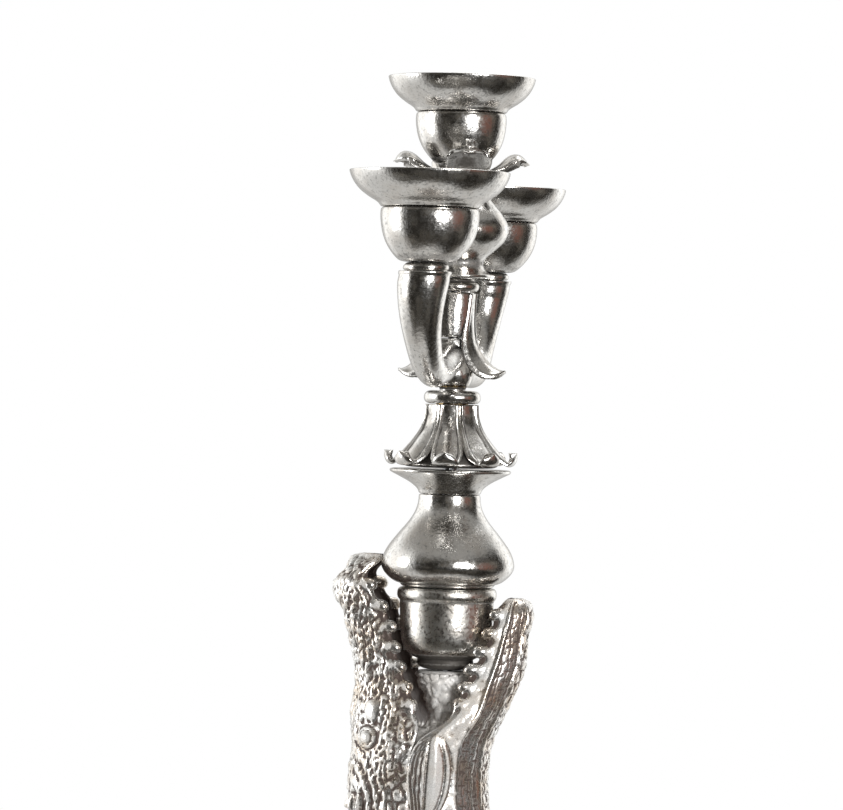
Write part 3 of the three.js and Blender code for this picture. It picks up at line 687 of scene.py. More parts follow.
def bent_sheet(line, sections, thick, rib=0.0, border=0.0, dish=0.0):
    """A leaf along a line of [out from the axis, height], facing +X. Sections are rows of [part of the line,
    half width, radius of the bend across it]. The rib is a raised middle line, the border a rolled edge down
    both sides, and the dish how far the edges turn up at the tip, as on a spoon."""
    path = spline(line, 0.4)
    length = np.concatenate([[0], np.cumsum(np.linalg.norm(np.diff(path, axis=0), axis=1))])
    t = np.linspace(0, 1, LEAF_ROWS)
    out = np.interp(t * length[-1], length, path[:, 0])
    height = np.interp(t * length[-1], length, path[:, 1])
    half, bend = (k[:, None] for k in hermite(sections)(t))
    along = np.stack([np.gradient(out), np.gradient(height)], 1)
    along /= np.linalg.norm(along, axis=1, keepdims=True)
    normal = np.stack([-along[:, 1], along[:, 0]], 1)
    u = np.linspace(-1, 1, LEAF_COLUMNS)
    angle = u[None, :] * half / bend
    sag = bend * (1 - np.cos(angle))
    tip = ramp(t, 0.62, 0.9)[:, None]
    crest = rib * np.exp(-((u / 0.10) ** 2)) * (1 - t[:, None] ** 4)
    roll = border * np.exp(-(((np.abs(u) - 0.84) / 0.13) ** 2)) * np.ones((LEAF_ROWS, 1))
    taper = np.sqrt(np.clip(1 - u[None, :] ** 8, 0.0, 1)) * 0.75 + 0.25

    def surface(lift):
        reach = lift - sag + dish * tip * (u**2 - 0.25)
        return np.stack([
            out[:, None] + normal[:, :1] * reach,
            bend * np.sin(angle),
            height[:, None] + normal[:, 1:] * reach,
        ], 2)

    return sheet(surface(thick * taper + crest + roll), surface(thick * (1 - taper) * 0.5))


def turn_about_stem(solid, degrees):
    a = math.radians(degrees)
    spin = np.array([[math.cos(a), -math.sin(a), 0], [math.sin(a), math.cos(a), 0], [0, 0, 1]])
    return solid[0] @ spin.T, *solid[1:]


def make_petal_skirt():
    foot = low("petal_skirt")
    core = outline(
        ROD,
        [[21.0, 0.4]],
        [[23.4, 1.2], [23.0, 3.6], [20.8, 7.2], [17.0, 12.4], [13.9, 18.6], [12.5, 26], [12.3, 32]],
        [[SLEEVE_BORE, 32]],
        [[SLEEVE_BORE, 9.8]],
    )
    petal_line = [[11.3, 31.8], [11.8, 25.6], [14.2, 19], [18.4, 13.2], [22.6, 8.2], [26.0, 4.2], [28.8, 1.9],
                  [31.2, 2.6], [32.6, 5.2], [32.7, 8.4]]
    sections = [[0, 4.9, 13], [0.25, 5.7, 14], [0.42, 7.4, 15], [0.55, 8.5, 16], [0.66, 8.6, 17],
                [0.76, 7.5, 16],
                [0.85, 6.6, 14], [0.92, 5.9, 12], [0.96, 4.6, 11], [0.985, 3.1, 10], [1, 1.2, 10]]
    petal = bent_sheet(petal_line, sections, 1.4, border=1.1, dish=3.0)
    petals = [turn_about_stem(petal, 45 * n - 85) for n in range(8)]
    for solid in petals:
        solid[0][:, 2] += foot

    def painted_shade_and_tarnish(p):
        """Painted shade on the bell between the petals and low down, over a faint even patina."""
        out = np.hypot(p[:, 0], p[:, 1]) + 0.55 * (p[:, 2] - foot)
        return 0.08 + 1.9 * (1 - ramp(out, 24.2, 26.6))

    solid = together(turned(core, ROD, base=foot), *petals)
    add_piece("petal_bell", solid, "petal_skirt", (12, 0.28), painted_shade_and_tarnish)


def make_leaf_column():
    tall = 22.8
    base = high("leaf_column") - tall
    tube_line = outline(
        THIN_ROD,
        [[9.4, 0]],
        [[9.9, 0.5], [10.5, 6], [10.8, 13], [10.6, 18], [10.0, tall]],
    )
    leaf_line = [[9.9, base + 22.0], [10.2, base + 12], [10.8, base + 3], [12.2, base - 3.6],
                 [15.6, base - 10.2],
                 [20.4, base - 14.9], [24.4, base - 16.9], [27.2, base - 17.2]]
    sections = [[0, 6.2, 10.6], [0.25, 7.6, 10.6], [0.45, 10.4, 10.8], [0.62, 12.9, 10.8], [0.75, 13.4, 10.2],
                [0.86, 11.4, 8.8], [0.94, 6.4, 7.2], [1, 0.7, 6]]
    leaf = bent_sheet(leaf_line, sections, 1.2, rib=0.7, border=0.5)
    leaves = [turn_about_stem(leaf, 180 * n) for n in range(2)]
    solid = together(turned(tube_line, THIN_ROD, base=base), *leaves)
    add_piece("leaf_column_cast", solid, "leaf_column")


def make_leaf_collar():
    base = low("leaf_collar")
    disc = outline(
        THIN_ROD,
        [[11.2, 0]],
        [[12.3, 0.9], [12.4, 2.2], [11.6, 3.2]],
    )
    line = [[9.5, base + 1.2], [14, base + 2.0], [19.5, base + 5.2], [24.5, base + 9.6], [28.4, base + 10.6],
            [31.2, base + 8.8], [32.4, base + 6.2]]
    sections = [[0, 6.0, 20], [0.25, 9.4, 18], [0.5, 12.8, 15.5], [0.7, 13.4, 14], [0.85, 11.2, 13],
                [0.95, 7.4, 12], [1, 2.8, 12]]
    upright = [[9.5, base + 1.2], [13, base + 1.6], [17.4, base + 4.4], [20.6, base + 9.0],
               [22.8, base + 12.4],
               [25.6, base + 12.8], [27.2, base + 10.8]]
    shapes = [bent_sheet(way, sections, 1.3, rib=0.5, border=1.2) for way in (upright, line)]
    petals = [turn_about_stem(shapes[n % 2], 18 - 90 + 90 * n) for n in range(4)]
    solid = together(turned(disc, THIN_ROD, base=base), *petals)
    # painted shade: darker near the stem, inside 17 to 24 mm, over a faint even patina
    add_piece("petal_collar", solid, "leaf_collar", (10, 0.22),
              lambda p: 0.22 + 0.5 * (1 - ramp(np.hypot(p[:, 0], p[:, 1]), 17, 24)))


# ---- tubes along a path ----
def swept(points, across, rows, columns, relief=None):
    """Oval sections along [x, y, z, half width, half height].

    The width lies along `across`, made square to the path."""
    p = np.array(points, float)
    path = spline(p[:, :3], 0.5)
    keys = np.linalg.norm(np.diff(p[:, :3], axis=0), axis=1)
    keys = np.concatenate([[0], np.cumsum(keys)])
    run = np.concatenate([[0], np.cumsum(np.linalg.norm(np.diff(path, axis=0), axis=1))])
    s = np.linspace(0, run[-1], rows)
    centre = np.stack([np.interp(s, run, path[:, k]) for k in range(3)], 1)
    sizes = hermite(np.column_stack([keys * run[-1] / keys[-1], p[:, 3], p[:, 4]]))(s)
    along = np.gradient(centre, axis=0)
    along /= np.linalg.norm(along, axis=1, keepdims=True)
    wanted = across(along) if callable(across) else np.array(across, float) * np.ones_like(along)
    side = wanted - (wanted * along).sum(1, keepdims=True) * along
    side /= np.linalg.norm(side, axis=1, keepdims=True)
    up = np.cross(side, along)
    a = np.linspace(0, 2 * math.pi, columns, endpoint=False)
    grid = (centre[:, None] + side[:, None] * (sizes[0][:, None] * np.cos(a))[:, :, None]
            + up[:, None] * (sizes[1][:, None] * np.sin(a))[:, :, None])
    if relief is not None:
        n = grid_normals(grid)
        if (n * (grid - centre[:, None])).sum() < 0:
            n = -n
        places = (np.broadcast_to(k, grid.shape[:2]) for k in (s[:, None], a))
        grid = grid + n * relief(grid, *places)[:, :, None]
    return tube(grid)


def make_arm(side, node):
    reach = abs(middle("cup_right")[1])
    top = high(node)
    points = [
        [5, 477.0, 8.1], [16, 474.8, 8.0], [28, 472.4, 7.8], [42, 470.0, 7.8], [55, 469.8, 8.0],
        [67.5, 474.8, 8.2], [77, 483.8, 8.9], [84, 495, 10.3], [87.4, 506, 11.8], [reach, 513.0, 12.5],
        [reach, top - 2.2, 12.4],
        [reach, top - 0.8, 12.9], [reach, top, 12.8],
    ]
    path = [[0, y * side, z, r, r] for y, z, r in points]
    solid = swept(path, (1, 0, 0), 170, 72)
    add_piece(f"horn_{node}", solid, node)


# ---- the crocodile ----
UPPER_JAW_TOP, LOWER_JAW_TOP = 377.2, 357.4
# Rows of [height, back, seam, half width] up the back and the upper jaw.
BACK_ROWS = hermite([
    [64, -34, -10, 25.5], [85, -42, -10, 36], [115, -45, -7.5, 41], [150, -46, -6, 43], [185, -46, -6.5, 41],
    [215, -46, -9, 37], [238, -45.5, -10.5, 33], [252, -45.7, -10.6, 32], [267, -45.5, -12, 33],
    [279, -44.8, -11, 33.5], [287, -45, -8.6, 32.8], [293, -45.3, -7.2, 31.5], [300, -45.8, -8.8, 29],
    [310, -43.6, -12.4, 25.5],
    [320, -43.9, -17.4, 22.5], [330, -46, -21.4, 20], [340, -49.5, -24.4, 18.5], [349, -52.2, -27.2, 17.6],
    [356, -55, -32, 17.2], [362, -54.8, -36.4, 16], [367, -52.0, -37.8, 14.2], [371, -49.6, -35.0, 12.6],
    [374.4, -47.8, -31.6, 10.8], [UPPER_JAW_TOP, -44.6, -33.0, 8.0],
])
# Rows of [height, seam, belly, half width] up the belly and the lower jaw.
BELLY_ROWS = hermite([
    [64, -10, 14, 25.5], [85, -10, 22, 36], [115, -7.5, 30, 41], [150, -6, 34, 43], [185, -6.5, 33, 41],
    [215, -9, 28, 37], [238, -10.5, 24.5, 33], [252, -10.6, 23.2, 32], [260, -11.4, 22.2, 32.4],
    [267, -12, 21.8, 33], [279, -11, 22.6, 33.5], [287, -6.5, 24.6, 32.6], [292, -1, 26.6, 31],
    [297, 4.8, 29, 29.2],
    [303, 9.0, 32.0, 26.6], [312, 12.6, 35.8, 22], [321, 16.4, 39.6, 18.6], [330, 20.6, 41.0, 16.5],
    [339, 23.8, 41.4, 15.2],
    [346, 25.4, 43.0, 13.8], [352, 27.0, 43.0, 11.6], [356, 30, 40.6, 7.5], [LOWER_JAW_TOP, 32, 38, 4.5],
])
EYE = (-33.0, 287.0)  # its x and height
MOUTH_CORNER = 290
WALL = 3.2  # the shells' thickness
SCUTE_WIDE, SCUTE_LONG = 8.6, 9.6  # the back's keeled scutes
BELLY_WIDE, BELLY_LONG = 9.8, 7.8  # the belly's flat plates
CHIN_WIDE, CHIN_LONG = 4.4, 5.2  # the chin's square scales
# Rows of [height, length] for the teeth on each side.
TEETH_UPPER = [[362.5, 5.6], [352, 4.4], [342, 5.2], [332, 5.0], [322.5, 4.6], [313, 3.8], [304.5, 2.8]]
TEETH_LOWER = [[349.5, 4.2], [340, 5.6], [331, 6.6], [322, 6.4], [313.5, 5.0], [305.5, 3.4]]


def cell_place(value, pitch, shift=0.0):
    """Where a value lies in its cell, from -1 to 1."""
    return (value / pitch + shift) % 1.0 * 2 - 1


def between_teeth(z, teeth):
    """1 in the hollow between two teeth, 0 at a tooth."""
    return 1 - np.clip(sum(np.exp(-(((z - height) / 2.7) ** 2)) for height, _ in teeth), 0, 1)


def gum_swell(z, edge, teeth):
    """The lip swells round each tooth, and is scalloped between them."""
    total = np.full_like(z, -0.8)
    for height, length in teeth:
        total += (0.9 + 0.22 * length) * np.exp(-(((z - height) / 2.9) ** 2))
    return total * edge


def bark(flat, size, salt):
    """Crinkled old hide: rough ridges that run mostly along the snout."""
    warp = np.stack([soft_noise(flat, size * 1.7, salt + k) for k in (1, 2, 3)], 1) * size * 0.35
    q = (flat + warp) * (1, 1, 0.55)
    ridges = 1 - np.abs(soft_noise(q, size, salt + 4)) * 1.6
    fine = 1 - np.abs(soft_noise(q, size * 0.45, salt + 5)) * 1.6
    return 0.65 * ridges + 0.35 * fine


def back_relief(p, angle, z, spread):
    flat = p.reshape(-1, 3)
    shape = z.shape
    s = angle * spread
    wander = soft_noise(flat, 16, 3).reshape(shape)
    across = cell_place(s + 0.9 * wander, SCUTE_WIDE, 0.5)
    along = cell_place(z + 0.8 * wander, SCUTE_LONG)
    plate = (1 - np.abs(across) ** 5) * (1 - np.abs(along) ** 5)
    keel = np.clip(1 - np.abs(across) * 2.3, 0, 1) ** 0.8 * np.clip(0.9 - 0.5 * along, 0, 1.2)
    scutes = plate * (1.0 + 2.3 * keel)
    flank = 1.1 * pebbles(flat * (1, 1, 0.8), 5.0, 11).reshape(shape)
    fine = 0.25 * rough_noise(flat, 2.6, 7).reshape(shape)
    on_back = ramp(-np.abs(s), -33, -25)
    body = on_back * scutes + (1 - on_back) * flank + fine
    uneven = flat * (1, 1, 0.6) + 1.2 * rough_noise(flat, 6, 21)[:, None]
    lumps = pebbles(uneven, 4.6, 23).reshape(shape)
    crinkles = bark(flat, 3.0, 31).reshape(shape)
    swell = soft_noise(flat * (1, 1, 0.7), 11.0, 41).reshape(shape)
    head = 0.5 * lumps + 1.1 * crinkles + 1.3 * swell + 0.6 * rough_noise(flat, 1.7, 45).reshape(shape)
    ridge = np.exp(-(((np.abs(angle) - 0.92) / 0.13) ** 2)) * ramp(z, 292, 300) * (1 - ramp(z, 346, 356))
    head = head + 1.2 * ridge * (0.7 + 0.3 * wander)
    nostril = np.exp(-(((z - 361) / 5.0) ** 2)) * np.exp(-(((np.abs(angle) - 0.35) / 0.3) ** 2))
    head = head + 1.8 * nostril
    relief = body + (head - body) * ramp(z + 3 * wander, 250, 274)
    return relief + wrinkle_relief(p, z) + eye_relief(p, z, relief)


def wrinkle_relief(p, z):
    """Loose skin that rings the neck behind the eye."""
    x, y = p[:, :, 0], np.abs(p[:, :, 1])
    away = np.hypot((x + 60) * 1.1, z - 250)
    where = ramp(away, 16, 24) * (1 - ramp(away, 38, 46)) * ramp(y, 10, 17) * (1 - ramp(z, 272, 282))
    return where * 0.6 * np.cos(away * 2 * math.pi / 5.2)


def eye_relief(p, z, under):
    """A round eye in a ring of lids, under a brow, and a smooth scale before it."""
    x = p[:, :, 0]
    side = ramp(np.abs(p[:, :, 1]), 8, 14)
    away = np.hypot((x - EYE[0]) * 1.2, (z - EYE[1]) * 1.12)
    lids = 1.8 * np.exp(-(((away - 4.9) / 1.0) ** 2)) + 0.4 * np.exp(-(((away - 7.4) / 1.0) ** 2))
    ball = 3.2 * np.sqrt(np.clip(1 - (away / 4.1) ** 2, 0, 1))
    inside = (1 - ramp(away, 6.9, 9.2)) * side
    before = np.hypot((x + 31.5) / 4.6, (z - 300.5) / 5.6)
    scale_on = (1 - ramp(before, 0.85, 1.05)) * side
    scale = 1.8 * np.sqrt(np.clip(1.05 - before**2, 0, 1))
    return inside * (lids + ball + 0.4 - under) + (1 - inside) * scale_on * (scale - under)


def jaw_channel(part, z):
    """Where the lower jaw's dark channel runs, as parts of its depth.

    It gives the channel's two edges, and how much a point is in it."""
    up = ramp(z, 275, 335)
    start, end = 0.70 - 0.27 * up, 0.91 - 0.07 * up
    inside = ramp(part, start, start + 0.05) * (1 - ramp(part, end, end + 0.04)) * ramp(z, 226, 250)
    return start, end, inside


def belly_relief(p, angle, z, spread):
    flat = p.reshape(-1, 3)
    shape = z.shape
    s = angle * spread
    wander = soft_noise(flat, 14, 53).reshape(shape)
    place = z + 0.6 * wander
    odd_row = np.floor(place / BELLY_LONG) % 2
    across = cell_place(s + 0.5 * wander + BELLY_WIDE / 2 * odd_row, BELLY_WIDE, 0.5)
    along = cell_place(place, BELLY_LONG)
    plate = 1.3 * (1 - 0.6 * np.abs(across) ** 6) * (1 - np.abs(along) ** 4)
    flank = 1.0 * pebbles(flat * (1, 1, 0.85), 5.2, 61).reshape(shape)
    fine = 0.12 * rough_noise(flat, 2.4, 67).reshape(shape)
    on_belly = ramp(-np.abs(s), -34, -26)
    body = on_belly * plate + (1 - on_belly) * flank + fine
    # the chin: a shallow channel of small square scales down each side, between smooth rounded edges
    part = np.cos(angle) ** 0.88
    chin_wander = soft_noise(flat, 4.5, 59).reshape(shape)
    odd_column = np.floor(s / CHIN_WIDE) % 2
    chin_across = cell_place(s + 0.7 * wander + 0.9 * chin_wander, CHIN_WIDE, 0.5)
    chin_along = cell_place(z + 1.4 * wander + 1.2 * chin_wander + 2.4 * odd_column, CHIN_LONG)
    grid = 0.42 * (1 - np.abs(chin_across) ** 8) * (1 - np.abs(chin_along) ** 8)
    start, end, channel = jaw_channel(part, z)
    edges = 0.9 * np.exp(-(((part - start + 0.04) / 0.05) ** 2))
    edges = edges + 0.8 * np.exp(-(((part - end - 0.05) / 0.03) ** 2))
    smooth = 0.35 * soft_noise(flat * (1, 1, 0.5), 6.0, 71) + 0.2 * soft_noise(flat, 2.4, 73)
    smooth = smooth.reshape(shape)
    chin_scales = pebbles(flat * (1, 1, 0.8), 4.6, 63).reshape(shape)
    chin = ramp(part, end + 0.04, end + 0.07) * 0.8 * chin_scales
    jaw = channel * grid - 0.6 * channel + edges * (1 - channel) + (1 - channel) * smooth + chin + fine
    relief = body + (jaw - body) * ramp(z + 5 * wander, 222, 252)
    return relief + fold_relief(p, z, relief)


FOLD_MIDDLE, FOLD_HALF_HEIGHT, FOLD_HALF_WIDTH = 269.0, 22.0, 10.0
# Rows of [place across the patch, width, rise].
FOLD_LINES = ((-0.86, 0.07, 1.3), (-0.66, 0.06, 1.3), (-0.46, 0.06, 1.4), (-0.24, 0.08, 1.6),
              (0.26, 0.33, 2.2), (0.84, 0.08, 1.4))


def fold_relief(p, z, under):
    """Stretched skin below the corner of the mouth: curved folds, round one fat fold, meet at both ends."""
    x, y = p[:, :, 0], np.abs(p[:, :, 1])
    t = np.clip((z - FOLD_MIDDLE) / FOLD_HALF_HEIGHT, -1, 1)
    half = FOLD_HALF_WIDTH * np.sqrt(1 - t**2) + 0.8
    c = (x + 1.5 - 1.5 * t) / half
    inside = (1 - ramp(np.abs(c), 0.95, 1.2)) * (1 - ramp(np.abs(t), 0.86, 1.0)) * ramp(y, 14, 20)
    folds = np.zeros_like(x)
    for at, wide, rise in FOLD_LINES:
        folds += rise * np.exp(-(((c - at) / wide) ** 2))
    folds = folds * np.sqrt(np.clip(1 - t**2, 0.04, 1)) * np.clip(half / 8, 0.3, 1.1)
    return inside * (folds - 0.3 - under)


OUTER_COLUMNS, INNER_COLUMNS, LIP_COLUMNS = 150, 44, 9


LIP = 2.0  # how far the lips swell past the seam
ROW_STEP = 0.85
NECK = 236  # the rows of points lie closer above it


def jaw_shell(rows, facing, bottom, top, inner_depth, relief, teeth):
    """Half of the hollow body and one jaw.

    Up the body go an outer arc, an inner arc, and rounded lips between them."""
    z = np.concatenate([np.arange(bottom, NECK, ROW_STEP * 1.5), np.arange(NECK, top, ROW_STEP), [top]])
    first, second, width = rows(z)
    seam, skin = (second, first) if facing < 0 else (first, second)
    jaw = ramp(z, MOUTH_CORNER - 2, MOUTH_CORNER + 10)
    seam = seam + facing * (0.06 + LIP * jaw * (1 - 0.5 * ramp(z, top - 8, top)))
    depth = np.abs(skin - seam)
    closing = ramp(z, 258, 284)
    mouth_depth = np.minimum(inner_depth, depth * 0.45)
    inside_depth = np.clip(depth - WALL, 1, None) * (1 - closing) + mouth_depth * closing
    inside_width = np.maximum(width - WALL - closing * 1.2, width * 0.55)
    a_out = np.linspace(-math.pi / 2, math.pi / 2, OUTER_COLUMNS)
    a_in = np.linspace(math.pi / 2, -math.pi / 2, INNER_COLUMNS)
    bend = np.linspace(0, math.pi, LIP_COLUMNS)[1:-1]
    height = z[:, None]

    def arc(d, w, angles, boxy):
        x = seam[:, None] + facing * d[:, None] * np.cos(angles) ** boxy
        return np.stack([x, w[:, None] * np.sin(angles), np.broadcast_to(height, x.shape)], 2)

    def lip_arc(sign):
        middle_y, half = (width + inside_width) / 2, (width - inside_width) / 2
        y = sign * (middle_y[:, None] + half[:, None] * np.cos(bend))
        x = seam[:, None] - facing * (LIP * jaw)[:, None] * np.sin(bend)
        grid = np.stack([x, y, np.broadcast_to(height, x.shape)], 2)
        return grid if sign > 0 else grid[:, ::-1]

    outside = arc(depth, width, a_out, 0.88)
    inside = arc(inside_depth, inside_width, a_in, 1.0)
    grid = np.concatenate([outside, lip_arc(1), inside, lip_arc(-1)], 1)
    n = grid_normals(grid)
    if n[len(z) // 3, OUTER_COLUMNS // 2, 0] * facing < 0:
        n = -n
    lift = np.zeros(grid.shape[:2])
    heights = np.broadcast_to(height, lift.shape)
    outer = slice(0, OUTER_COLUMNS)
    spread = ((depth + width) / 2)[:, None]
    angles = np.broadcast_to(a_out, lift[:, outer].shape)
    lift[:, outer] = relief(grid[:, outer], angles, heights[:, outer], spread)
    lift[:, outer] *= 1 - (1 - jaw[:, None]) * ramp(np.abs(a_out), 1.50, 1.5708) * 0.35
    calm = 1 - 0.5 * ramp(np.abs(a_out), 1.35, 1.5)[None, :] * jaw[:, None]
    edge = ramp(np.abs(a_out), 1.38, 1.54)[None, :] * jaw[:, None]
    lift[:, outer] = lift[:, outer] * calm + gum_swell(heights[:, outer], edge, teeth)
    round_lip = LIP_COLUMNS - 2
    lips = np.r_[OUTER_COLUMNS:OUTER_COLUMNS + round_lip, -round_lip:0]
    swell = gum_swell(heights[:, lips], 1.0, teeth) * jaw[:, None]
    lift[:, lips] = swell + lift[:, [OUTER_COLUMNS - 1]] * 0.3
    inner = slice(OUTER_COLUMNS + round_lip, OUTER_COLUMNS + round_lip + INNER_COLUMNS)
    palate = grid[:, inner].reshape(-1, 3)
    lift[:, inner] = (0.5 * rough_noise(palate, 5, 81)).reshape(len(z), INNER_COLUMNS) * jaw[:, None]
    lift = lift * (1 - ramp(z, top - 2.5, top) * 0.75)[:, None]
    return tube(grid + n * lift[:, :, None])


def tooth_solid(root, direction, length, radius):
    """A blunt, knobby tooth, a little hooked, with a swollen root."""
    t = np.linspace(0, 1, 12)
    d = Vector(direction).normalized()
    side = d.orthogonal().normalized()
    other = d.cross(side)
    r = radius * np.array([1.1, 1.16, 1.16, 1.12, 1.08, 1.05, 1.02, 0.98, 0.92, 0.82, 0.62, 0.25])
    a = np.linspace(0, 2 * math.pi, 20, endpoint=False)
    centre = np.array(root)[None] + np.outer((t * 1.4 - 0.4) * length, d) + np.outer(0.8 * t**2, (0, 0, -1))
    ring = np.outer(np.cos(a), side) + np.outer(np.sin(a), other)
    return tube(centre[:, None] + r[:, None, None] * ring[None])


def make_teeth(name, rows, teeth, facing, column, node):
    """Both sides' teeth of one jaw. The column is where its rows hold the seam."""
    solids = []
    for height, length in teeth:
        values = [float(v[0]) for v in rows(height)]
        seam = values[column]
        y = max(values[2] - 2.2, 3.0)
        for side in (-1, 1):
            root = (seam - facing * 1.6, y * side, height)
            solids.append(tooth_solid(root, (facing, 0.5 * side, 0.14), length, 2.3 + 0.16 * length))
    add_detail(name, together(*solids), node, (8, 1.2), lambda p: 0.3 * pebbles(p, 2.2, 35) + 0.1)


def make_head_and_body():
    back, belly = "crocodile_back_shell", "crocodile_belly_shell"
    upper = jaw_shell(BACK_ROWS, -1, low(back), UPPER_JAW_TOP, 5.0, back_relief, TEETH_UPPER)
    add_piece("crocodile_back", upper, back, (12, 0.42), mouth_shade_and_highlight)
    lower = jaw_shell(BELLY_ROWS, 1, low(belly), LOWER_JAW_TOP, 6.0, belly_relief, TEETH_LOWER)
    add_piece("crocodile_belly", lower, belly, (12, 0.42), mouth_shade_and_highlight)
    make_teeth("upper_teeth", BACK_ROWS, TEETH_UPPER, 1, 1, back)
    make_teeth("lower_teeth", BELLY_ROWS, TEETH_LOWER, -1, 0, belly)


def mouth_shade_and_highlight(p):
    """Painted shade on the palate and the mouth's floor inside the lips, and in the hollows between the
    teeth. The lower jaw's channel is darker, and its smooth cheek strip gets a negative value, a painted
    highlight.
    """
    _, seam_back, width_back = BACK_ROWS(p[:, 2])
    seam_belly, skin_belly, width_belly = BELLY_ROWS(np.minimum(p[:, 2], 357))
    above = p[:, 0] < (seam_back + seam_belly) / 2
    width = np.where(above, width_back, width_belly)
    seam = np.where(above, seam_back, seam_belly)
    near_lip = ramp(np.abs(p[:, 1]) / width, 0.80, 0.97)
    in_depth = 1 - ramp(np.abs(p[:, 0] - seam), 6.5, 9.0)
    along_jaw = ramp(p[:, 2], MOUTH_CORNER - 4, MOUTH_CORNER + 6)
    part = np.clip((p[:, 0] - seam_belly) / np.maximum(skin_belly - seam_belly, 1), 0, 1)
    start, _, channel = jaw_channel(part, p[:, 2])
    cheek = ramp(part, 0.12, 0.24) * (1 - ramp(part, start - 0.08, start)) * ramp(p[:, 2], 236, 262)
    # the cheek strip's negative value paints it pale: a painted highlight
    channel = np.where(above, 0, channel - 2.6 * cheek)
    # painted shade in the hollows between the teeth
    hollow = np.where(above, between_teeth(p[:, 2], TEETH_UPPER), between_teeth(p[:, 2], TEETH_LOWER))
    hollow = hollow * (1 - ramp(np.abs(p[:, 0] - seam), 2.6, 4.6))
    hollow = hollow * ramp(p[:, 2], 299, 304) * (1 - ramp(p[:, 2], 350, 356))
    return 0.9 * in_depth * (1 - near_lip) * along_jaw + 0.42 * channel + 1.1 * hollow


def make_tongue():
    """The tongue and the mouth's floor, which spreads to the shells below the corner of the mouth."""
    rows = hermite([
        [282, -8, 15.5, 27], [286, -6.5, 15, 26], [289, -3.5, 11.5, 22], [292, -1, 8.0, 17],
        [297, 0.3, 6.6, 13.5],
        [304, 0.8, 8.6, 13.2], [312, 0.4, 11.4, 13.8], [316.5, 0, 13.6, 14.6], [319.6, 0, 14.6, 15.2],
        [320.6, 0, 13.6, 14.0],
    ])
    z = np.linspace(282, 320.6, 90)
    x, a, b = rows(z)
    t = np.linspace(0, 2 * math.pi, 120, endpoint=False)
    shape = (len(z), len(t))
    grid = np.stack([
        x[:, None] + a[:, None] * np.cos(t), b[:, None] * np.sin(t), np.broadcast_to(z[:, None], shape),
    ], 2)
    n = grid_normals(grid)
    n = n if n[45, 0, 0] > 0 else -n
    flat = grid.reshape(-1, 3)
    crumple = 1.3 * bark(flat, 6.5, 91) + 0.9 * soft_noise(flat, 5.0, 97)
    lift = crumple.reshape(shape) * (1 - ramp(z, 316.5, 319.5))[:, None] - 0.6
    scales = 0.9 * pebbles(flat * (1, 1, 0.7), 4.6, 205) + 0.5 * rough_noise(flat, 2.4, 207)
    lift = lift + scales.reshape(shape) * ramp(z, 286, 292)[:, None] * (1 - ramp(z, 318, 320))[:, None]
    add_piece("tongue_cast", tube(grid + n * lift[:, :, None]), "tongue", (8, 0.9),
              lambda p: 1.5 * ramp(p[:, 2], 317.2, 319.2) - 0.5)


TAIL_PATH = [
    [-10, 0, 68, 26.4, 24.6], [-12, 0, 60, 25.4, 23.8], [-17, 0, 50.5, 24, 22.6], [-30, 0, 42.8, 20.8, 20.6],
    [-48, -6, 39, 16, 18.2], [-65, -24, 36, 12, 15.2], [-74, -46, 33.5, 9.8, 12.8],
    [-58, -68, 31.5, 8.2, 10.9], [-30, -82, 29.6, 7, 9.0],
    [4, -85, 28, 6, 7.4], [38, -76, 26.4, 4.8, 5.8], [64, -56, 24.8, 3.5, 4.2], [79, -30, 22.6, 1.2, 1.9],
]


def level_across(along):
    return np.stack([-along[:, 1], along[:, 0] - 0.02, np.zeros(len(along))], 1)


TAIL_SCUTE = 9.0  # how far apart its scutes stand


def tail_relief(grid, s, a):
    flat = grid.reshape(-1, 3)
    shape = s.shape
    length = s.max()
    size = 1 - 0.82 * ramp(s, 30, length)
    up = np.abs(((a - math.pi / 2) + math.pi) % (2 * math.pi) - math.pi)
    split = 0.42 * (1 - ramp(s, 0.45 * length, 0.6 * length))
    crest = np.exp(-(((up - split) / (0.13 + 0.05 * size)) ** 2))
    along = cell_place(s, TAIL_SCUTE)
    fin = np.clip(1 - np.abs(along + 0.2) ** 1.6, 0, 1)
    scutes = 3.6 * size * crest * fin
    around = cell_place(a * 14, 6.3)
    plates = 1.1 * (1 - np.abs(along) ** 5) * (1 - np.abs(around) ** 5) * (0.35 + 0.65 * size)
    hide = 0.5 * pebbles(flat, 3.4, 103).reshape(shape) * (0.4 + 0.6 * size)
    return scutes + 0.8 * plates + hide + 0.2 * rough_noise(flat, 2.0, 101).reshape(shape)


def make_tail():
    """The tail curls from the body round the foot's rim."""
    solid = swept(TAIL_PATH, level_across, 560, 84, tail_relief)
    solid[0][:, 2] = np.maximum(solid[0][:, 2], high("base_foot") + 0.1)
    add_piece("crocodile_tail_cast", solid, "crocodile_tail", (12, 0.35))


def fused(name, solids, voxel=0.8, softening=6):
    """Several overlapping solids grown into one skin."""
    rough = mesh_object(name + "_rough", *together(*solids))
    remesh = rough.modifiers.new("fuse", "REMESH")
    remesh.mode = "VOXEL"
    remesh.voxel_size = voxel * MM
    graph = bpy.context.evaluated_depsgraph_get()
    mesh = bpy.data.meshes.new_from_object(rough.evaluated_get(graph))
    bpy.data.objects.remove(rough)
    points = mesh_points(mesh)
    edges, count = mesh_edges(mesh)
    for _ in range(softening):
        points = relaxed(points, edges, count)
    corners = np.empty(len(mesh.loops), np.int32)
    mesh.loops.foreach_get("vertex_index", corners)
    bpy.data.meshes.remove(mesh)
    return turn_outward(points, corners.reshape(-1, 4).astype(np.int64))


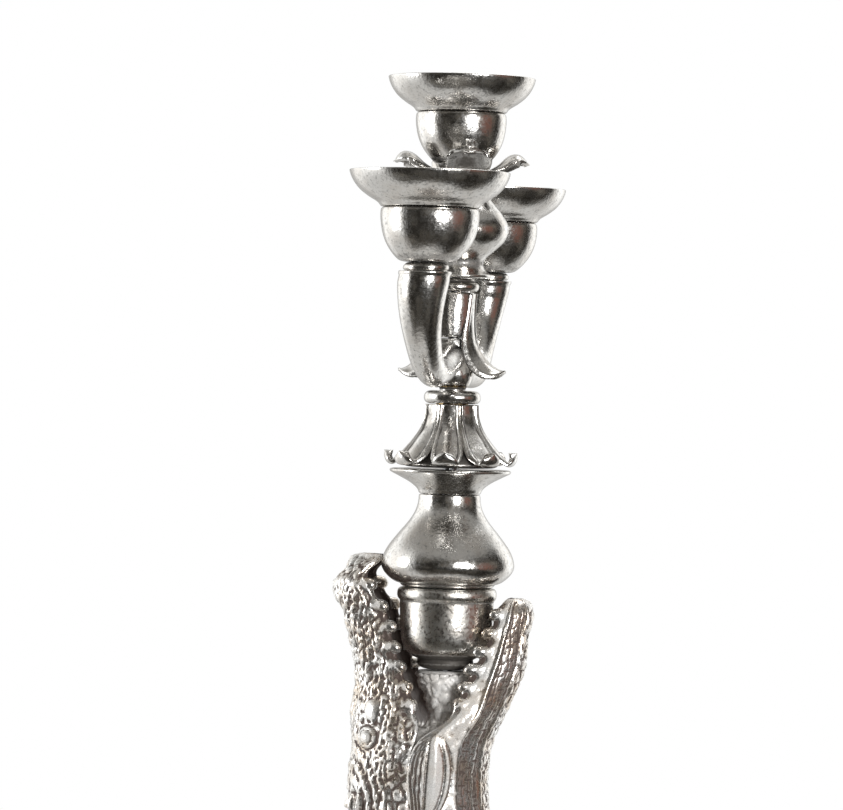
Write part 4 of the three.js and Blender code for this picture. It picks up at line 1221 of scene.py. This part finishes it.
def vertex_normals(vertices, quads):
    p = vertices[quads]
    n = np.cross(p[:, 2] - p[:, 0], p[:, 3] - p[:, 1])
    total = np.stack([
        sum(np.bincount(quads[:, corner], n[:, k], len(vertices)) for corner in range(4)) for k in range(3)
    ], 1)
    return total / np.maximum(np.linalg.norm(total, axis=1, keepdims=True), 1e-9)


def scaled_skin(solid, size, height, salt):
    vertices, quads, triangles = solid
    lift = height * pebbles(vertices, size, salt) + 0.12 * rough_noise(vertices, 2.2, salt + 5)
    return vertices + vertex_normals(vertices, quads) * lift[:, None], quads, triangles


def digit(palm, side, spread, reach, drop, radius):
    x, y, z = palm
    return swept(
        [[x - 6, y + 0.35 * spread * side, z, radius, radius],
         [x + reach * 0.45, y + 0.8 * spread * side, z + 0.6 - drop * 0.3, radius * 0.95, radius * 0.9],
         [x + reach * 0.75, y + spread * side, z - drop * 0.6, radius * 0.85, radius * 0.8],
         [x + reach * 0.9, y + 1.05 * spread * side, z - drop * 0.9, radius * 0.45, radius * 0.45]],
        (0, 1, 0), 40, 20)


def claw(palm, side, spread, reach, drop, radius):
    x, y, z = palm
    return swept(
        [[x + reach * 0.74, y + spread * side, z + 0.4 - drop * 0.6, radius * 0.55, radius * 0.55],
         [x + reach * 0.92, y + 1.04 * spread * side, z + 0.5 - drop * 0.9, radius * 0.4, radius * 0.42],
         [x + reach, y + 1.07 * spread * side, z - 0.9 - drop, 0.25, 0.25]],
        (0, 1, 0), 24, 16)


HIND_DIGITS = [[-9, 21, 1.2, 3.4], [-3, 26, 1.2, 3.5], [4, 25, 1.2, 3.4], [10, 18.5, 1.2, 3.1]]
FORE_DIGITS = [[-10, 11, 1, 2.5], [-5.5, 16, 3, 2.7], [0, 18, 4, 2.8], [5.5, 16, 4, 2.7], [10, 11, 3, 2.4]]


def make_hindleg(side, node):
    floor = high("base_foot") + 0.2
    limb = swept(
        [[-12, 14 * side, 94, 21, 22], [-4, 28 * side, 86, 20, 21], [10, 42 * side, 76, 16.5, 17.5],
         [19, 51.5 * side, 63, 13, 13], [6, 54 * side, 50.5, 10.2, 10.6], [-6, 53 * side, 37, 8.6, 8.6],
         [2, 52 * side, 28.6, 9.2, 7.6],
         [14, 52.5 * side, 26.4, 10.6, 6.0], [27, 53 * side, 25.2, 11, 4.6]],
        (0, 1, 0), 150, 56)
    palm = (26, 53 * side, 24.4)
    digits = [digit(palm, side, *d) for d in HIND_DIGITS]
    skin = scaled_skin(fused(node, [limb, *digits]), 4.2, 0.75, 111)
    solid = together(skin, *[claw(palm, side, *d) for d in HIND_DIGITS])
    solid[0][:, 2] = np.maximum(solid[0][:, 2], floor)
    add_piece(f"{node}_cast", solid, node, (12, 0.3))


def make_foreleg(side, node):
    limb = swept(
        [[-8, 20 * side, 222, 13, 14], [-6, 30 * side, 213, 12.6, 13.4], [-4, 41 * side, 202, 10.8, 11.2],
         [-1, 50.5 * side, 188, 8.8, 9.2], [13, 51 * side, 178.6, 7.4, 7.8],
         [28, 44.5 * side, 179.6, 6.2, 6.2],
         [36, 40 * side, 181.6, 7.0, 5.0], [42, 37.5 * side, 182, 7.6, 4.2]],
        (0, 1, 0), 120, 48)
    palm = (41, 38 * side, 181.6)
    digits = [digit(palm, side, *d) for d in FORE_DIGITS]
    skin = scaled_skin(fused(node, [limb, *digits], 0.7, 5), 3.6, 0.65, 131)
    solid = together(skin, *[claw(palm, side, *d) for d in FORE_DIGITS])
    add_piece(f"{node}_cast", solid, node, (12, 0.3))


# ---- the foot ----
BASE_SIDES = 240


def make_base():
    """The moulded foot: its edge, its muddy top, and its hollow underside."""
    base, top = low("base_foot"), high("base_foot") - low("base_foot")
    edge = chained(
        [95.4, 0],
        [[101, 0]],
        [[103.2, 1.4], [104, 4.2], [103.4, 7.0], [101.6, 8.6]],
        [[99.6, 9.2], [98.4, 10.4], [98, 12.4], [97.2, 13.6]],
        [[96.2, 13.9], [95.6, 15.2], [94.4, 16.8], [92.6, top - 0.2], [91.4, top - 0.3]],
    )
    rings = np.linspace(90.6, 0.6, 100)
    ground = np.column_stack([rings, np.full(len(rings), top - 0.4)])
    inner = chained([0, top - 4], [[89, top - 4]], [[93.4, 9.6], [95, 5.6], [95.2, 0]])
    line = np.vstack([edge, ground])
    grid = ring_grid(line, BASE_SIDES)
    flat = grid.reshape(-1, 3)
    mud = (0.9 * rough_noise(flat, 14, 141) + 0.5 * pebbles(flat, 6.5, 143)).reshape(grid.shape[:2])
    on_top = ramp(-line[:, :1], -91.5, -86)
    grid[:, :, 2] += base + np.minimum(mud * on_top * 0.6, 0.35)
    underside = ring_grid(inner, BASE_SIDES) + (0, 0, base)
    add_piece("moulded_foot", tube(np.concatenate([grid, underside], 0), wrap_rows=True), "base_foot")


def make_felt():
    lowest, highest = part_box("felt_pad")
    radius, thick = (highest.x - lowest.x) / 2 / MM, highest.z / MM
    line = outline(0, [[radius - 0.7, 0]], [[radius, thick / 2], [radius - 0.6, thick]])
    add_piece("baize_pad", turned(line, 0, wobble=0.15), "felt_pad")


# ---- everything ----
def make_candelabrum():
    make_urn()
    make_bulb()
    make_dish()
    make_bead_ring()
    make_petal_skirt()
    make_hub()
    make_leaf_column()
    make_column_cap()
    make_knob()
    make_leaf_collar()
    for name, side in SIDES.items():
        make_arm(side, f"arm_{name}")
        make_arm_ring(f"arm_ring_{name}")
    for name in ("center", "right", "left"):
        make_cup(f"cup_{name}")
        make_nozzle(f"nozzle_{name}")


def make_crocodile():
    make_head_and_body()
    make_tongue()
    make_tail()
    for name, side in SIDES.items():
        make_hindleg(side, f"hindleg_{name}")
        make_foreleg(side, f"foreleg_{name}")


# ---- studio ----
VIEW_AZIMUTH = 10.5  # degrees round from the crocodile's right side, towards its belly
VIEW_DISTANCE = 2.25
VIEW_HEIGHT = 0.465
VIEW_PITCH = 0.318
VIEW_ROLL = 1.56
VIEW_OFFSET = -0.0153
VIEW_LENS = 192.2


def facing(azimuth, elevation=0.0):
    a, e = math.radians(azimuth), math.radians(elevation)
    return Vector((math.sin(a) * math.cos(e), -math.cos(a) * math.cos(e), math.sin(e)))


def make_camera():
    data = bpy.data.cameras.new("view")
    data.lens = VIEW_LENS
    data.clip_start, data.clip_end = 0.05, 60
    camera = bpy.data.objects.new("view", data)
    bpy.context.scene.collection.objects.link(camera)
    bpy.context.scene.camera = camera
    back = facing(VIEW_AZIMUTH)
    right = Vector((-back.y, back.x, 0))
    forward = -facing(VIEW_AZIMUTH, VIEW_PITCH)
    up = right.cross(forward)
    roll = math.radians(VIEW_ROLL)
    rolled_right = right * math.cos(roll) + up * math.sin(roll)
    rolled_up = up * math.cos(roll) - right * math.sin(roll)
    turn = Matrix((rolled_right, rolled_up, -forward)).transposed()
    place = back * VIEW_DISTANCE + right * VIEW_OFFSET
    camera.matrix_world = Matrix.Translation((place.x, place.y, VIEW_HEIGHT)) @ turn.to_4x4()


FLOOR_RADIUS = 2250
FLOOR_RINGS, FLOOR_SIDES = 12, 96
WHITE = (1, 1, 1)


def make_floor():
    """Pale paper that fades to white, so that its edge doesn't show."""
    a = np.linspace(0, 2 * math.pi, FLOOR_SIDES, endpoint=False)
    reach = np.linspace(FLOOR_RADIUS, 1, FLOOR_RINGS)[:, None]
    grid = np.stack([reach * np.cos(a), reach * np.sin(a), 0 * reach * a], 2)
    faces = grid_quads(FLOOR_RINGS, FLOOR_SIDES, False, True)[:, ::-1]
    floor = mesh_object("floor", grid.reshape(-1, 3), faces)
    floor.visible_glossy = False
    material, tree, shader, place = new_finish("pale_floor")
    paper = tree.add("TexNoise", Scale=900.0, Detail=4.0).outputs["Fac"]
    tone = tree.mapped(paper, 0.2, 0.8, 0.84, 0.88)
    grey = tree.add("CombineColor", Red=tone, Green=tone, Blue=tone)
    tree.feed(shader["Base Color"], grey.outputs["Color"])
    shader["Roughness"].default_value = 0.9
    away = tree.add("VectorMath", operation="LENGTH", Vector=place).outputs["Value"]
    lit = tree.add("Emission", Color=WHITE).outputs[0]
    paper_shader = tree.nodes["Principled BSDF"].outputs[0]
    fade = tree.mix_shaders(paper_shader, lit, tree.mapped(away, 0.25, 1.3))
    tree.feed(tree.nodes["Material Output"].inputs["Surface"], fade)
    floor.data.materials.append(material)


def add_softbox(name, azimuth, elevation, distance, width, height, power, tint=(1, 1, 1)):
    data = bpy.data.lights.new(name, "AREA")
    data.shape = "RECTANGLE"
    data.size, data.size_y = width, height
    data.energy = power
    data.color = tint
    lamp = bpy.data.objects.new(name, data)
    bpy.context.scene.collection.objects.link(lamp)
    direction = facing(azimuth, elevation)
    lamp.location = direction * distance + Vector((0, 0, 0.42))
    lamp.rotation_mode = "QUATERNION"
    lamp.rotation_quaternion = direction.to_track_quat("Z", "Y")
    lamp.visible_camera = False


def make_surroundings():
    """A white tent, open and dark on the side that the picture is taken from."""
    world = bpy.data.worlds.new("tent")
    bpy.context.scene.world = world
    tree = Tree(world)
    tree.nodes.clear()
    way = tree.add("TexCoord").outputs["Generated"]
    z = tree.add("SeparateXYZ", Vector=way).outputs["Z"]

    def toward(azimuth, start, end):
        """1 in one direction, 0 away from it."""
        dot = tree.add("VectorMath", operation="DOT_PRODUCT")
        tree.feed(dot.inputs[0], way)
        tree.feed(dot.inputs[1], facing(azimuth))
        return tree.mapped(dot.outputs["Value"], start, end)

    level = tree.math("MULTIPLY", tree.mapped(z, 0.50, 0.82, 1.0, 0.0), tree.mapped(z, -0.97, -0.86))
    dark = tree.math("MULTIPLY", toward(VIEW_AZIMUTH + 24, -0.24, 0.06), level)
    room = tree.noise(way, Scale=1.7, Detail=3.0, Roughness=0.6)
    room_tone = tree.mix((0.020, 0.018, 0.015), (0.20, 0.185, 0.16), tree.mapped(room, 0.42, 0.72))
    room_tone = tree.mix(room_tone, (0.22, 0.11, 0.085), toward(VIEW_AZIMUTH + 68, 0.93, 0.985))
    sky = tree.mix((1.55, 1.55, 1.53), (0.36, 0.35, 0.33), tree.mapped(z, 0.32, 0.80))
    sky = tree.mix((0.72, 0.715, 0.70), sky, tree.mapped(z, -0.62, -0.10))
    behind = tree.math("MULTIPLY", toward(VIEW_AZIMUTH + 185, 0.80, 0.95), 0.75)
    walls = tree.mix(sky, (0.26, 0.25, 0.24), behind)
    light = tree.add("Background", Color=tree.mix(walls, room_tone, dark)).outputs[0]
    paper = tree.add("Background", Color=WHITE, Strength=1.0).outputs[0]
    from_camera = tree.add("LightPath").outputs["Is Camera Ray"]
    seen = tree.mix_shaders(light, paper, from_camera)
    tree.feed(tree.add("OutputWorld").inputs["Surface"], seen)


def make_studio():
    make_camera()
    make_floor()
    make_surroundings()
    add_softbox("key", VIEW_AZIMUTH + 28, 6, 1.5, 0.46, 0.46, 17)
    add_softbox("left_fill", VIEW_AZIMUTH - 84, 6, 1.6, 0.35, 0.9, 8)
    add_softbox("top", VIEW_AZIMUTH + 150, 65, 1.8, 1.2, 1.2, 14)
    bpy.context.scene.view_settings.view_transform = "Standard"


make_studio()
make_candelabrum()
make_crocodile()
make_base()
make_felt()
finish_inner_parts(
    "base_cover", "cover_screw_1", "cover_screw_2", "cover_screw_3", "foot_right_stud", "foot_right_nut",
    "foot_left_stud", "foot_left_nut", "tail_stud", "tail_nut", "mouth_bridge", "stem_rod", "stem_rod_nut",
    "socket_nut", "socket_sleeve", "branch_rod", "center_nut", "cup_screw_right", "cup_screw_left",
)
